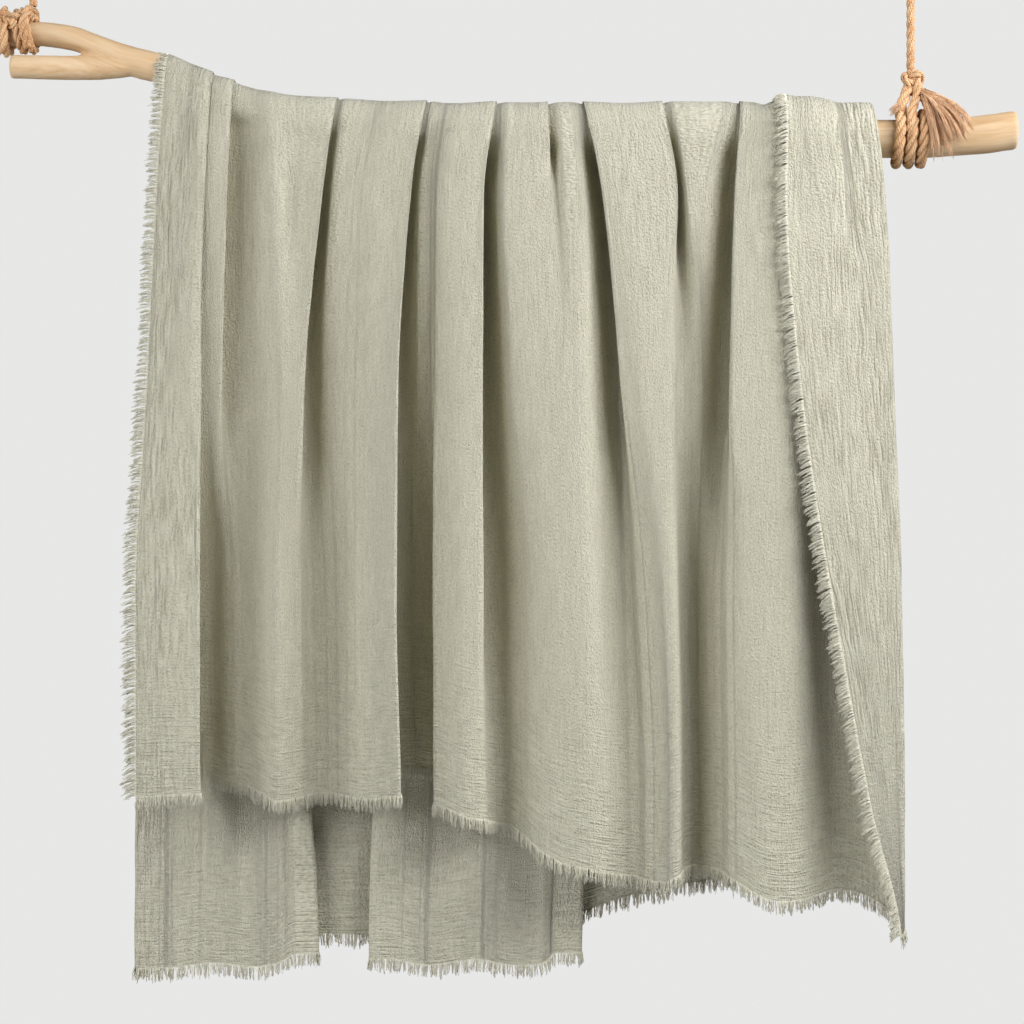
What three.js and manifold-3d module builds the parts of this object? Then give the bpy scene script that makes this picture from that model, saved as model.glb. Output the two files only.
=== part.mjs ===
// Linen gauze throw, fringed on four sides, draped over a forked branch that hangs on two jute ropes.
// Millimetres, +X to the viewer's right, -Y towards the viewer, +Z up.
// Places are measured from the middle of the throw's front, and the whole thing is moved at the end
// so that the origin is where the right rope's eye bears on its hook.

import * as THREE from "three";
import { mergeVertices } from "three/addons/utils/BufferGeometryUtils.js";
import Module from "manifold-3d";

const wasm = await Module();
wasm.setup();

// Driving dimensions

// Cloth: its thickness, the pitch of doubled layers, and how far the first and last layer at the crest
// stand off the branch

const clothThickness = 1.4;
const layerPitch = 2.8;
const innerLayer = 1.7;
const outerLayer = 8.5;

// Folds: a rounded shoulder on each side of a lap, which opens into a wave where the lap runs out
// below openLap. A roll reaches its full size at rollDepth under the crest. The panel over a lap lies flat
// on it until the two stand freeRoom apart. Below clearDrop the cloth may come nearer than the branch's
// side, by clearSlope for each millimetre.

const cornersPerFold = 6;
const shoulderDrop = 0.8;
const leastShoulder = 2.5;
const leastRoll = 0.6;
const freeRoom = 14;
const openLap = 6;
const lapPerRoom = 20;
const rollDepth = 500;
const clearDrop = 34;
const clearSlope = 0.6;
const softCut = 40;
const slotCut = 12;
const crestStation = 3;
const frontRows = 8;
const backRows = 6;
const arcAngles = [60, 30, 0];

// Fringe: a strip set off the cloth's edge by a gap, and the locks on it

const fringeLength = 13;
const fringeStripHeight = 2.4;
const fringeStripThickness = 1.2;
const fringeGap = 0.8;
const lockShare = 0.6;
const lockUnevenness = 0.3;
const straightWithin = 0.5;
const hemFringe = { pitch: 24, droop: 0, seed: 11 };
const sideFringe = { pitch: 28, droop: 3, seed: 13 };

// Branch and rope

const branchSides = 12;
const ringsPerStation = 2;
const slopeReach = 4;
const ropeDiameter = 10;
const ropeTopHeight = 632;
const seatGap = 0.3;

// Branch: centre line and radius of the stem and upper prong, from the left end to the sawn right end

const stem = [
  { x: -615, z: 534, r: 12.8 },
  { x: -575, z: 537, r: 13.2 },
  { x: -533, z: 537, r: 13.5 },
  { x: -497, z: 533, r: 14 },
  { x: -468, z: 523, r: 14.5 },
  { x: -432, z: 508, r: 17 },
  { x: -393, z: 497, r: 17.6 },
  { x: -337, z: 470, r: 18.3 },
  { x: -273, z: 449, r: 19 },
  { x: -197, z: 439, r: 20 },
  { x: -96, z: 433, r: 21 },
  { x: 40, z: 430, r: 21.5 },
  { x: 170, z: 430, r: 21.7 },
  { x: 257, z: 428, r: 21.9 },
  { x: 330, z: 424, r: 21.9 },
  { x: 400, z: 419.5, r: 21.9 },
  { x: 448, z: 419.5, r: 21.9 },
  { x: 502, z: 421.5, r: 21.4 },
  { x: 535, z: 424.5, r: 21.8 },
  { x: 567, z: 428.5, r: 21.5 },
];

const lowerProng = [
  { x: -560, y: -24, z: 496.6, r: 13.5 },
  { x: -513, y: -15, z: 497, r: 13.6 },
  { x: -476, y: -8, z: 498, r: 13.8 },
  { x: -440, y: -3, z: 501, r: 13.6 },
  { x: -412, y: 0, z: 504, r: 12 },
];

// Ropes: each rises from a hitch round the branch to an eye just above the view

const ropeSides = 9;
const ropeStep = 5;
const ropeLay = 36;
const strandGroove = 0.2;
const wrapSides = 12;
const wrapProfileAngles = [-55, 0, 55];
const bentRopeSides = 8;
const bentRopeSteps = 4;
const lumpMeridians = 8;
const lumpParallels = 6;
const eyeRingSides = 8;
const eyeRingSteps = 14;
const rightRopeX = 448;
const leftRopeX = -538;
const rightRiserFoot = 497;
const leftRiserFoot = 568;
const eyeKnot = { halfX: 10, halfY: 9, halfZ: 8 };
const eyeRadius = 14;
const eyeCentre = ropeTopHeight + seatGap + 2 * eyeKnot.halfZ + eyeRadius;
const eyeBearing = eyeCentre + eyeRadius - ropeDiameter / 2;

const rightHitch = {
  wraps: [{ x: 447, z: 419.5, bore: 21.6, turns: 3, thick: 11.5, lean: 0.16 }],
  knots: [
    { x: 449, y: 0, z: 486.5, halfX: 13.5, halfY: 11, halfZ: 10.2 },
    { x: 443, y: -2, z: 481, halfX: 8, halfY: 9, halfZ: 10 },
  ],
  legs: [
    [[445, -2, 482], [440, -6, 468], [436, -12, 452], [436, -18, 441]],
    [[453, -2, 482], [451, -8, 468], [448, -14, 452], [449, -20, 441]],
  ],
};

const leftHitch = {
  wraps: [
    { x: -577, z: 537, bore: 12.8, turns: 2, thick: 15, lean: 0.1 },
    { x: -550, z: 537, bore: 12.8, turns: 2, thick: 11, lean: -0.12 },
  ],
  knots: [
    { x: -541, y: -3, z: 558, halfX: 11, halfY: 11, halfZ: 9.7 },
    { x: -560, y: -17, z: 549, halfX: 12, halfY: 11, halfZ: 12 },
  ],
  legs: [
    [[-543, -6, 560], [-546, -16, 548], [-545, -24, 536], [-538, -24, 518]],
  ],
};

const rightTassel = {
  head: { x: 460.4, y: -11, z: 470, halfX: 5, halfY: 6, halfZ: 6 },
  locks: { count: 18, from: -1.32, to: -0.25, length: 62, uneven: 0.35, ahead: 27, spread: 12 },
  bend: { middle: 0.5, middleAhead: 0.8, tip: 0.8, droop: 0.36 },
  radii: [1.5, 1.4, 0.5],
  seed: 7,
};

// Cloth stations, down the back from its hem to the crest of the branch and on down the front
//               backHem backLow backHigh crest high middle low hem corner
const stationHeights = [-510, -150, 200, null, 345, 125, -95, -325, -485];

// Each fold is a doubled lap of cloth, listed from the left edge to the right one.
// over: the panel that lies outside. edge: where the outer panel turns. lap: how far the cloth runs back
// under it, less than nothing where the fold has opened into a wave. out and in: how far the two panels
// stand off the branch. frontHem and backHem: the heights at which the outer and inner panels end.
// Each ridge is a single crest or hollow of a panel between two folds.

const section = [
  {
    name: "left edge",
    x: [-378, -394, -399, -386, -398, -408, -419, -418, -418],
    d: [36, 30, 11, 1.7, 8, 14, 20, 23, 23],
    frontHem: -315,
    backHem: -505,
  },
  {
    name: "edge turn, over",
    x: [-428, -426, -401, -374, -388, -397, -405, -405, -405],
    d: [26, 20, 7, 1.8, 10, 16, 22, 25, 25],
    cut: 5,
    frontHem: -316,
    backHem: -516,
  },
  {
    name: "edge turn, under",
    x: [-428, -422, -391, -361, -376, -384, -391, -391, -391],
    d: [16, 10, 4, 1.9, 11, 18, 26, 29, 29],
    cut: 5,
    frontHem: -314,
    backHem: -518,
  },
  {
    name: "strip fold",
    over: "left",
    roll: 3,
    edge: [-396, -388, -364, -335, -343, -346, -346, -345, -345],
    lap: [-10, -6, 8, 16, 14, 14, 14, 18, 18],
    out: [9, 8, 8.2, outerLayer, 16, 24, 34, 36, 36],
    in: [6, 4, 2, innerLayer, -2, -14, -38, -43, -43],
    frontHem: [-312, -295],
    backHem: [-516, -516],
  },
  {
    name: "second fold",
    over: "left",
    roll: 3,
    edge: [-358, -352, -330, -311, -318, -323, -322, -322, -322],
    lap: [-12, -10, 2, 7, 12, -6, -20, -20, -20],
    out: [9, 8, 6, outerLayer, 14, -10, -19, -22, -22],
    in: [6, 4, 2, innerLayer, -15, -22, -13, -15, -15],
    frontHem: [-300, -304],
    backHem: [-512, -510],
  },
  {
    name: "first hollow",
    x: [-326, -322, -305, -288, -294, -294, -288, -288, -288],
    d: [5, 4, 2, 1.4, -10, -14, -4, -5, -5],
    frontHem: -310,
    backHem: -510,
  },
  {
    name: "first ridge",
    x: [-302, -300, -280, -262, -260, -256, -262, -262, -262],
    d: [10, 8, 4, 2, 17, 23, 29, 29, 29],
    frontHem: -321,
    backHem: -515,
  },
  {
    name: "third fold",
    over: "left",
    roll: 4,
    edge: [-282, -280, -228, -195, -211, -231, -236, -236, -236],
    lap: [-8, -6, 8, 24, 15, 7, -8, -12, -12],
    out: [9, 7, 8, outerLayer, 20, 18, 8, 6, 6],
    in: [5, 3, 2, innerLayer, -16, -34, -30, -28, -28],
    frontHem: [-320, -315],
    backHem: [-514, -512],
  },
  {
    name: "sloping panel",
    x: [-258, -262, -192, -162, -186, -204, -204, -202, -202],
    d: [4, 3, 2, 1.4, -4, -12, -16, -16, -16],
    frontHem: -315,
    backHem: -510,
  },
  {
    name: "rear box fold",
    over: "right",
    roll: 4,
    edge: [-240, -250, -166, -146, -160, -168, -168, -166, -166],
    lap: [22, 10, -6, -6, -8, -12, -12, -12, -12],
    out: [32, 20, 3, 2.4, 13, 23, 25, 24, 24],
    in: [6, 4, 2, 1.8, 5, 2, -6, -6, -6],
    frontHem: [-319, -318],
    backHem: [-480, -500],
  },
  {
    name: "deep fold",
    over: "left",
    roll: 3.4,
    edge: [-140, -126, -102, -95, -113, -126, -127, -122, -122],
    lap: [22, 22, 24, 28, 16, 13, 13, 15, 15],
    out: [32, 20, 9, outerLayer, 21, 34, 40, 40, 40],
    in: [6, 4, 2, innerLayer, -17, -38, -44, -45, -45],
    frontHem: [-314, -287],
    backHem: [-482, -506],
  },
  {
    name: "recess floor",
    x: [-118, -104, -84, -80, -105, -112, -107, -104, -104],
    d: [6, 4, 2, 1.4, -12, -30, -45, -46, -46],
    frontHem: -286,
    backHem: -510,
  },
  {
    name: "recess right fold",
    over: "right",
    roll: 3.2,
    edge: [-92, -78, -66, -70, -85, -90, -88, -87, -87],
    lap: [-10, -8, -6, -6, -12, -12, 14, 18, 18],
    out: [10, 8, 4, 2.8, 11, 8, 15, 16, 16],
    in: [7, 5, 2, 1.6, -2, -14, -43, -44, -44],
    frontHem: [-325, -290],
    backHem: [-514, -512],
  },
  {
    name: "narrow panel",
    x: [-66, -54, -48, -55, -66, -64, -58, -56, -56],
    d: [10, 8, 4, 2, 21, 28, 35, 35, 35],
    frontHem: -337,
    backHem: -509,
  },
  {
    name: "fourth fold",
    over: "left",
    roll: 5,
    edge: [-38, -26, -18, -17, -29, -31, -31, -29, -29],
    lap: [-10, -6, 10, 19, 13, 9, 4, -7, -7],
    out: [9, 7, 8, outerLayer, 21, 28, 30, 27, 27],
    in: [5, 3, 2, innerLayer, -22, -39, -43, -36, -36],
    frontHem: [-341, -350],
    backHem: [-506, -508],
  },
  {
    name: "second hollow",
    x: [-12, 0, 4, 4, -12, -4, 4, 6, 6],
    d: [4, 4, 2, 1.4, 10, 6, -5, -9, -9],
    frontHem: -354,
    backHem: -512,
  },
  {
    name: "wide panel",
    x: [8, 18, 22, 20, 12, 22, 27, 30, 30],
    d: [9, 7, 3, 1.8, 18, 22, 17, 12, 12],
    frontHem: -378,
    backHem: -514,
  },
  {
    name: "small dart",
    over: "left",
    roll: 3,
    edge: [26, 36, 40, 40, 47, 48, 52, 56, 56],
    lap: [-8, -6, 2, 7, 5, -8, -12, -12, -12],
    out: [9, 7, 5, 7.2, 17, 24, 22, 17, 17],
    in: [6, 5, 2.4, innerLayer, 8, 25, 24, 20, 20],
    frontHem: [-391, -393],
    backHem: [-513, -511],
  },
  {
    name: "panel before fifth fold",
    x: [44, 56, 60, 60, 76, 82, 92, 100, 100],
    d: [6, 5, 2, 2, 18, 24, 27, 24, 24],
    frontHem: -401,
    backHem: -508,
  },
  {
    name: "fifth fold",
    over: "right",
    roll: 5,
    edge: [58, 78, 84, 79, 101, 122, 143, 154, 154],
    lap: [22, 21, 21, 21, 14, 4, -10, -16, -16],
    out: [30, 20, 9, outerLayer, 21, 22, 14, 10, 10],
    in: [6, 4, 2, innerLayer, -22, -29, -18, -8, -8],
    frontHem: [-412, -406],
    backHem: [-458, -499],
  },
  {
    name: "broad panel",
    x: [122, 130, 128, 128, 138, 148, 166, 174, 174],
    d: [26, 18, 6, 2, 22, 28, 30, 26, 26],
    frontHem: -412,
    backHem: -437,
  },
  {
    name: "sixth fold",
    over: "left",
    roll: 4,
    edge: [172, 174, 170, 168, 185, 178, 186, 189, 189],
    lap: [-10, -8, 4, 10, 8, -12, -3, -3, -3],
    out: [24, 17, 8, outerLayer, 20, 21, 25, 22, 22],
    in: [18, 10, 3, innerLayer, 1, 2, -42, -45, -45],
    frontHem: [-406, -400],
    backHem: [-428, -424],
  },
  {
    name: "broad hollow",
    x: [210, 212, 208, 206, 214, 216, 210, 212, 212],
    d: [12, 8, 2, 1.4, 0, -24, -36, -38, -38],
    frontHem: -397,
    backHem: -418,
  },
  {
    name: "seventh fold",
    over: "right",
    roll: 4,
    edge: [260, 256, 254, 255, 246, 241, 241, 244, 244],
    lap: [12, 14, 18, 19, 14, 8, -9, -10, -10],
    out: [24, 17, 9, outerLayer, 20, 20, 18, 14, 14],
    in: [6, 4, 2, innerLayer, -16, -32, -6, -10, -10],
    frontHem: [-410, -398],
    backHem: [-408, -414],
  },
  {
    name: "bright panel",
    x: [304, 300, 292, 290, 280, 276, 272, 274, 274],
    d: [20, 15, 6, 3, 24, 29, 28, 29, 29],
    frontHem: -430,
    backHem: -406,
  },
  {
    name: "first hidden gather",
    x: [322, 318, 310, 306, 306, 312, 318, 318, 318],
    d: [13, 10, 8, 10, 23, 29, 31, 28, 28],
    frontHem: -433,
    backHem: -405,
  },
  {
    name: "hidden hollow",
    x: [346, 342, 334, 328, 334, 340, 347, 352, 354],
    d: [9, 7, 3, 2, 6, 2, -12, -20, -16],
    frontHem: -424,
    backHem: -404,
  },
  {
    name: "second hidden gather",
    x: [372, 368, 358, 352, 360, 366, 368, 374, 374],
    d: [12, 9, 7, 10, 8, 0, -8, -18, -12],
    frontHem: -420,
    backHem: -404,
  },
  {
    name: "panel under the flap",
    x: [400, 396, 384, 376, 388, 398, 404, 408, 410],
    d: [10, 8, 5, 2, 8, 8, 4, 2, 6],
    frontHem: -432,
    backHem: -404,
  },
  {
    name: "right turn, under",
    x: [428, 422, 412, 404, 415, 424, 432, 436, 436.5],
    d: [14, 11, 8, 7, 16, 18, 17, 16, 18],
    cut: 6,
    frontHem: -458,
    backHem: -405,
  },
  {
    name: "right turn, over",
    x: [428, 422, 412, 404, 415, 424, 432, 436, 436.5],
    d: [28, 24, 20, 17, 28, 32, 31, 28, 23],
    cut: 6,
    frontHem: -464,
    backHem: -406,
  },
  {
    name: "flap crease",
    x: [388, 378, 368, 362, 370, 380, 396, 418, 434],
    d: [31, 27, 23, 18, 30, 35, 36, 32, 25],
    frontHem: -467,
    backHem: -408,
  },
  {
    name: "flap fullness",
    x: [360, 346, 338, 332, 336, 350, 376, 408, 432.5],
    d: [29, 26, 22, 21, 33, 38, 39, 35, 26],
    frontHem: -469,
    backHem: -409,
  },
  {
    name: "right edge",
    x: [338, 320, 310, 306, 304, 321, 354, 396, 431],
    d: [32, 28, 23, 20, 31, 38, 41, 38, 28],
    frontHem: -470,
    backHem: -410,
  },
];

// Smooth curve through a row of values at rising places

function along(places, values, at) {
  const last = places.length - 1;
  if (at <= places[0]) return values[0];
  if (at >= places[last]) return values[last];
  let k = 0;
  while (at > places[k + 1]) k += 1;
  const slope = (i) => {
    if (i === 0 || i === last) return 0;
    const before = (values[i] - values[i - 1]) / (places[i] - places[i - 1]);
    const after = (values[i + 1] - values[i]) / (places[i + 1] - places[i]);
    if (before * after <= 0) return 0;
    return (2 * before * after) / (before + after);
  };
  const span = places[k + 1] - places[k];
  const t = (at - places[k]) / span;
  const ease = t * t * (3 - 2 * t);
  const bend = t * (1 - t) * span;
  return values[k] + (values[k + 1] - values[k]) * ease
    + bend * ((1 - t) * slope(k) - t * slope(k + 1));
}

// The branch under the cloth: height of its centre line, its radius and its upright half height

const stemX = stem.map((p) => p.x);
const stemZ = stem.map((p) => p.z);
const stemR = stem.map((p) => p.r);

function branchAt(x) {
  const z = along(stemX, stemZ, x);
  const rise = along(stemX, stemZ, x + slopeReach) - along(stemX, stemZ, x - slopeReach);
  const r = along(stemX, stemR, x);
  return { z, r, upright: r * Math.hypot(1, rise / (2 * slopeReach)) };
}

// Control points of one fold or ridge at a signed drop from the crest: back drops are negative

function controls(row, drop) {
  const at = (values) => along(row.places, values, drop);
  const { clamp, lerp, smoothstep } = THREE.MathUtils;
  const closest = innerLayer - Math.max(0, Math.abs(drop) - clearDrop) * clearSlope;
  if (!row.over) return [{ x: at(row.x), d: Math.max(at(row.d), closest), cut: row.cut ?? softCut }];
  const inner = Math.max(at(row.in), closest);
  const out = Math.max(at(row.out), closest);
  const grown = Math.min(1, Math.abs(drop) / rollDepth);
  const roll = Math.max(Math.min(lerp(layerPitch / 2, row.roll, grown), (out - inner) / 4), leastRoll);
  const room = (out - inner - 2 * layerPitch) * lapPerRoom;
  const lap = Math.min(at(row.lap), Math.max(room, -openLap));
  const edge = at(row.edge);
  const tuck = row.over === "left" ? edge - lap : edge + lap;
  const shoulder = Math.max(3 * roll, leastShoulder);
  const held = Math.max(lap, 0) * (1 - clamp((out - inner - freeRoom) / freeRoom, 0, 1));
  const wave = smoothstep(-lap, -openLap, openLap);
  const opened = wave / 3;
  const wall = lerp(2 * roll, (out - inner) / 3, wave);
  const cut = lerp(roll, softCut, wave);
  const outer = [
    { x: edge, d: out, cut },
    { x: edge + opened * (tuck - edge), d: out - wall, cut },
  ];
  const under = [
    { x: tuck + opened * (edge - tuck), d: inner + wall, cut },
    { x: tuck, d: inner, cut },
  ];
  const outside = { d: out - shoulderDrop, cut: softCut };
  const inside = { d: inner + shoulderDrop, cut: lerp(slotCut, softCut, wave) };
  if (row.over === "left") {
    outside.x = edge - held - shoulder;
    inside.x = Math.max(edge, tuck) + shoulder;
    return [outside, ...outer, ...under, inside];
  }
  outside.x = edge + held + shoulder;
  inside.x = Math.min(edge, tuck) - shoulder;
  return [inside, ...under.reverse(), ...outer.reverse(), outside];
}

for (const row of section) {
  const branch = branchAt((row.over ? row.edge : row.x)[crestStation]);
  row.axis = branch.z;
  row.top = branch.z + branch.upright;
  row.places = stationHeights.map((z, k) => Math.sign(k - crestStation) * (row.top - z));
}

// Rows of the drape: angle over the branch, then shares of the fall from the branch to each hem

const drapeRows = [
  ...Array.from({ length: backRows }, (_, k) => ({ side: 1, fall: 1 - k / backRows })),
  ...[...arcAngles].reverse().map((angle) => ({ side: 1, angle })),
  { side: -1, angle: 90 },
  ...arcAngles.map((angle) => ({ side: -1, angle })),
  ...Array.from({ length: frontRows }, (_, k) => ({ side: -1, fall: (k + 1) / frontRows })),
];

function hemOf(row, side, index) {
  const hem = side < 0 ? row.frontHem : row.backHem;
  if (!Array.isArray(hem)) return hem;
  const onLeft = index < cornersPerFold / 2;
  return onLeft === (row.over === "left") ? hem[0] : hem[1];
}

// One row of the drape as points on the cloth's middle surface

function drapeRow({ side, angle, fall }) {
  const points = [];
  for (const row of section) {
    const count = row.over ? cornersPerFold : 1;
    for (let index = 0; index < count; index += 1) {
      if (angle === undefined) {
        const height = row.axis - fall * (row.axis - hemOf(row, side, index));
        const control = controls(row, -side * (row.top - height))[index];
        const y = side * (branchAt(control.x).r + control.d);
        points.push({ point: new THREE.Vector3(control.x, y, height), cut: control.cut });
        continue;
      }
      const lean = THREE.MathUtils.degToRad(angle);
      const control = controls(row, -side * (row.top - row.axis) * (1 - Math.sin(lean)))[index];
      const branch = branchAt(control.x);
      const y = side * (branch.r + control.d) * Math.cos(lean);
      const z = branch.z + (branch.upright + control.d) * Math.sin(lean);
      points.push({ point: new THREE.Vector3(control.x, y, z), cut: control.cut });
    }
  }
  return roundCorners(points);
}

// Each control point is pulled in towards its neighbours as a rounded corner is

function roundCorners(points) {
  return points.map(({ point, cut }, k) => {
    if (k === 0 || k === points.length - 1) return point.clone();
    const towards = (other) => {
      const arm = other.clone().sub(point);
      const reach = Math.min(cut, arm.length() / 2);
      return point.clone().add(arm.setLength(reach));
    };
    const before = towards(points[k - 1].point);
    const after = towards(points[k + 1].point);
    return before.multiplyScalar(0.25).addScaledVector(point, 0.5).addScaledVector(after, 0.25);
  });
}

const drape = drapeRows.map(drapeRow);
const columns = drape[0].length;

// Unit normal of the cloth, towards its outer face, at a row and column of the drape

function clothNormal(r, c) {
  const up = drape[Math.min(r + 1, drape.length - 1)][c].clone().sub(drape[Math.max(r - 1, 0)][c]);
  const here = drape[r][c];
  const across = new THREE.Vector3();
  if (c > 0) across.add(here.clone().sub(drape[r][c - 1]).normalize());
  if (c < columns - 1) across.add(drape[r][c + 1].clone().sub(here).normalize());
  return across.cross(up).normalize().negate();
}

// Closed solid from a list of points and a list of triangles

function solid(points, triangles) {
  const geometry = new THREE.BufferGeometry().setFromPoints(points);
  geometry.setIndex(triangles.flat());
  return geometry;
}

function blanketGeometry() {
  const points = [];
  for (const offset of [clothThickness / 2, -clothThickness / 2]) {
    drape.forEach((line, r) => line.forEach((point, c) => {
      points.push(point.clone().addScaledVector(clothNormal(r, c), offset));
    }));
  }
  const end = drape.length - 1;
  const layer = drape.length * columns;
  const at = (r, c, face) => face * layer + r * columns + c;
  const triangles = [];
  const quad = (a, b, c, d) => triangles.push([a, b, c], [a, c, d]);
  for (let r = 0; r + 1 < drape.length; r += 1) {
    for (let c = 0; c + 1 < columns; c += 1) {
      quad(at(r, c, 0), at(r + 1, c, 0), at(r + 1, c + 1, 0), at(r, c + 1, 0));
      quad(at(r, c, 1), at(r, c + 1, 1), at(r + 1, c + 1, 1), at(r + 1, c, 1));
    }
    quad(at(r, 0, 0), at(r, 0, 1), at(r + 1, 0, 1), at(r + 1, 0, 0));
    const c = columns - 1;
    quad(at(r, c, 0), at(r + 1, c, 0), at(r + 1, c, 1), at(r, c, 1));
  }
  for (let c = 0; c + 1 < columns; c += 1) {
    quad(at(0, c, 0), at(0, c + 1, 0), at(0, c + 1, 1), at(0, c, 1));
    quad(at(end, c, 0), at(end, c, 1), at(end, c + 1, 1), at(end, c + 1, 0));
  }
  return solid(points, triangles);
}

// Edge of the cloth as a line of stations: a point on it, the way out of the cloth and the cloth's normal

function edgeLine(cells) {
  const stations = cells.map(({ r, c, fromR, fromC }) => ({
    point: drape[r][c].clone(),
    away: drape[r][c].clone().sub(drape[fromR][fromC]).normalize(),
    normal: clothNormal(r, c),
  }));
  return thinned(stations);
}

// Stations that lie on the straight line between their neighbours are left out

function thinned(stations) {
  if (stations.length < 3) return stations;
  const first = stations[0].point;
  const last = stations[stations.length - 1].point;
  const chord = new THREE.Line3(first, last);
  let farthest = 0;
  let split = 0;
  stations.forEach(({ point }, k) => {
    const off = chord.closestPointToPoint(point, true, new THREE.Vector3()).distanceTo(point);
    if (off > farthest) {
      farthest = off;
      split = k;
    }
  });
  if (farthest < straightWithin) return [stations[0], stations[stations.length - 1]];
  return [...thinned(stations.slice(0, split + 1)), ...thinned(stations.slice(split)).slice(1)];
}

// Comb of fringe: a narrow strip along the edge, and pointed locks that grow from its outer side

function fringeGeometry(stations, { pitch, droop, seed }) {
  const next = chance(seed);
  const corners = [];
  const triangle = (a, b, c) => corners.push(a, b, c);
  const quad = (a, b, c, d) => {
    triangle(a, b, c);
    triangle(a, c, d);
  };
  const at = ({ point, away, normal }, reach, face) => point.clone()
    .addScaledVector(away, reach)
    .addScaledVector(normal, (face * fringeStripThickness) / 2);
  const root = fringeGap + fringeStripHeight;
  const between = (a, b, t) => ({
    point: a.point.clone().lerp(b.point, t),
    away: a.away.clone().lerp(b.away, t),
    normal: a.normal.clone().lerp(b.normal, t),
  });
  for (let k = 0; k + 1 < stations.length; k += 1) {
    const [a, b] = [stations[k], stations[k + 1]];
    const count = Math.round(a.point.distanceTo(b.point) / pitch);
    const shares = [0];
    for (let i = 0; i < count; i += 1) {
      shares.push((i + (1 - lockShare) / 2) / count, (i + (1 + lockShare) / 2) / count);
    }
    shares.push(1);
    const low = [1, -1].map((face) => shares.map((t) => {
      if (t === 0) return at(a, root, face);
      if (t === 1) return at(b, root, face);
      return at(between(a, b, t), root, face);
    }));
    const top = [1, -1].map((face) => [at(a, fringeGap, face), at(b, fringeGap, face)]);
    for (let i = 0; i + 1 < shares.length; i += 1) {
      triangle(top[0][0], low[0][i + 1], low[0][i]);
      triangle(top[1][0], low[1][i], low[1][i + 1]);
      if (i % 2 === 0) {
        quad(low[0][i], low[0][i + 1], low[1][i + 1], low[1][i]);
        continue;
      }
      const middle = between(a, b, (shares[i] + shares[i + 1]) / 2);
      const length = fringeLength * (1 + lockUnevenness * (next() - 0.5));
      const tip = at(middle, root + length, 0);
      tip.z -= droop;
      triangle(low[0][i], low[0][i + 1], tip);
      triangle(low[0][i + 1], low[1][i + 1], tip);
      triangle(low[1][i + 1], low[1][i], tip);
      triangle(low[1][i], low[0][i], tip);
    }
    const end = shares.length - 1;
    triangle(top[0][0], top[0][1], low[0][end]);
    triangle(top[1][0], low[1][end], top[1][1]);
    quad(top[0][0], top[1][0], top[1][1], top[0][1]);
    if (k === 0) quad(top[0][0], low[0][0], low[1][0], top[1][0]);
    if (k + 2 === stations.length) quad(top[0][1], top[1][1], low[1][end], low[0][end]);
  }
  let volume = 0;
  for (let i = 0; i < corners.length; i += 3) {
    volume += corners[i].dot(corners[i + 1].clone().cross(corners[i + 2]));
  }
  if (volume < 0) corners.reverse();
  const geometry = new THREE.BufferGeometry().setFromPoints(corners);
  return mergeVertices(geometry, 1e-3);
}

const lastRow = drape.length - 1;
const lastColumn = columns - 1;
const alongHem = (r, fromR) => drape[0].map((_, c) => ({ r, c, fromR, fromC: c }));
const alongSide = (c, fromC) => drape.map((_, r) => ({ r, c, fromR: r, fromC }));
const frontHem = edgeLine(alongHem(lastRow, lastRow - 1));
const backHem = edgeLine(alongHem(0, 1));
const leftSide = edgeLine(alongSide(0, 1));
const rightSide = edgeLine(alongSide(lastColumn, lastColumn - 1));

// Boolean join of closed pieces into one

function toManifold(geometry) {
  const bare = geometry.clone();
  bare.deleteAttribute("normal");
  bare.deleteAttribute("uv");
  const merged = mergeVertices(bare, 1e-4);
  return new wasm.Manifold(new wasm.Mesh({
    numProp: 3,
    vertProperties: new Float32Array(merged.attributes.position.array),
    triVerts: new Uint32Array(merged.index.array),
  }));
}

function join(geometries) {
  return fromManifold(geometries.map(toManifold).reduce((sum, piece) => sum.add(piece)));
}

function cut(geometry, tool) {
  return fromManifold(toManifold(geometry).subtract(toManifold(tool)));
}

function fromManifold(whole) {
  const { vertProperties, triVerts } = whole.getMesh();
  const geometry = new THREE.BufferGeometry();
  geometry.setAttribute("position", new THREE.Float32BufferAttribute(vertProperties, 3));
  geometry.setIndex(Array.from(triVerts));
  return geometry;
}

// Closed loft: rings of equal count along a path, with a flat cap at each end

function loft(rings) {
  const sides = rings[0].length;
  const points = rings.flat();
  const triangles = [];
  for (let k = 0; k + 1 < rings.length; k += 1) {
    for (let i = 0; i < sides; i += 1) {
      const j = (i + 1) % sides;
      const a = k * sides + i;
      const b = k * sides + j;
      triangles.push([a, b, b + sides], [a, b + sides, a + sides]);
    }
  }
  const tail = (rings.length - 1) * sides;
  for (let i = 1; i + 1 < sides; i += 1) {
    triangles.push([0, i + 1, i], [tail, tail + i, tail + i + 1]);
  }
  return solid(points, triangles);
}

// Round limb of wood through a table of stations, its rings square to its run

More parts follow.
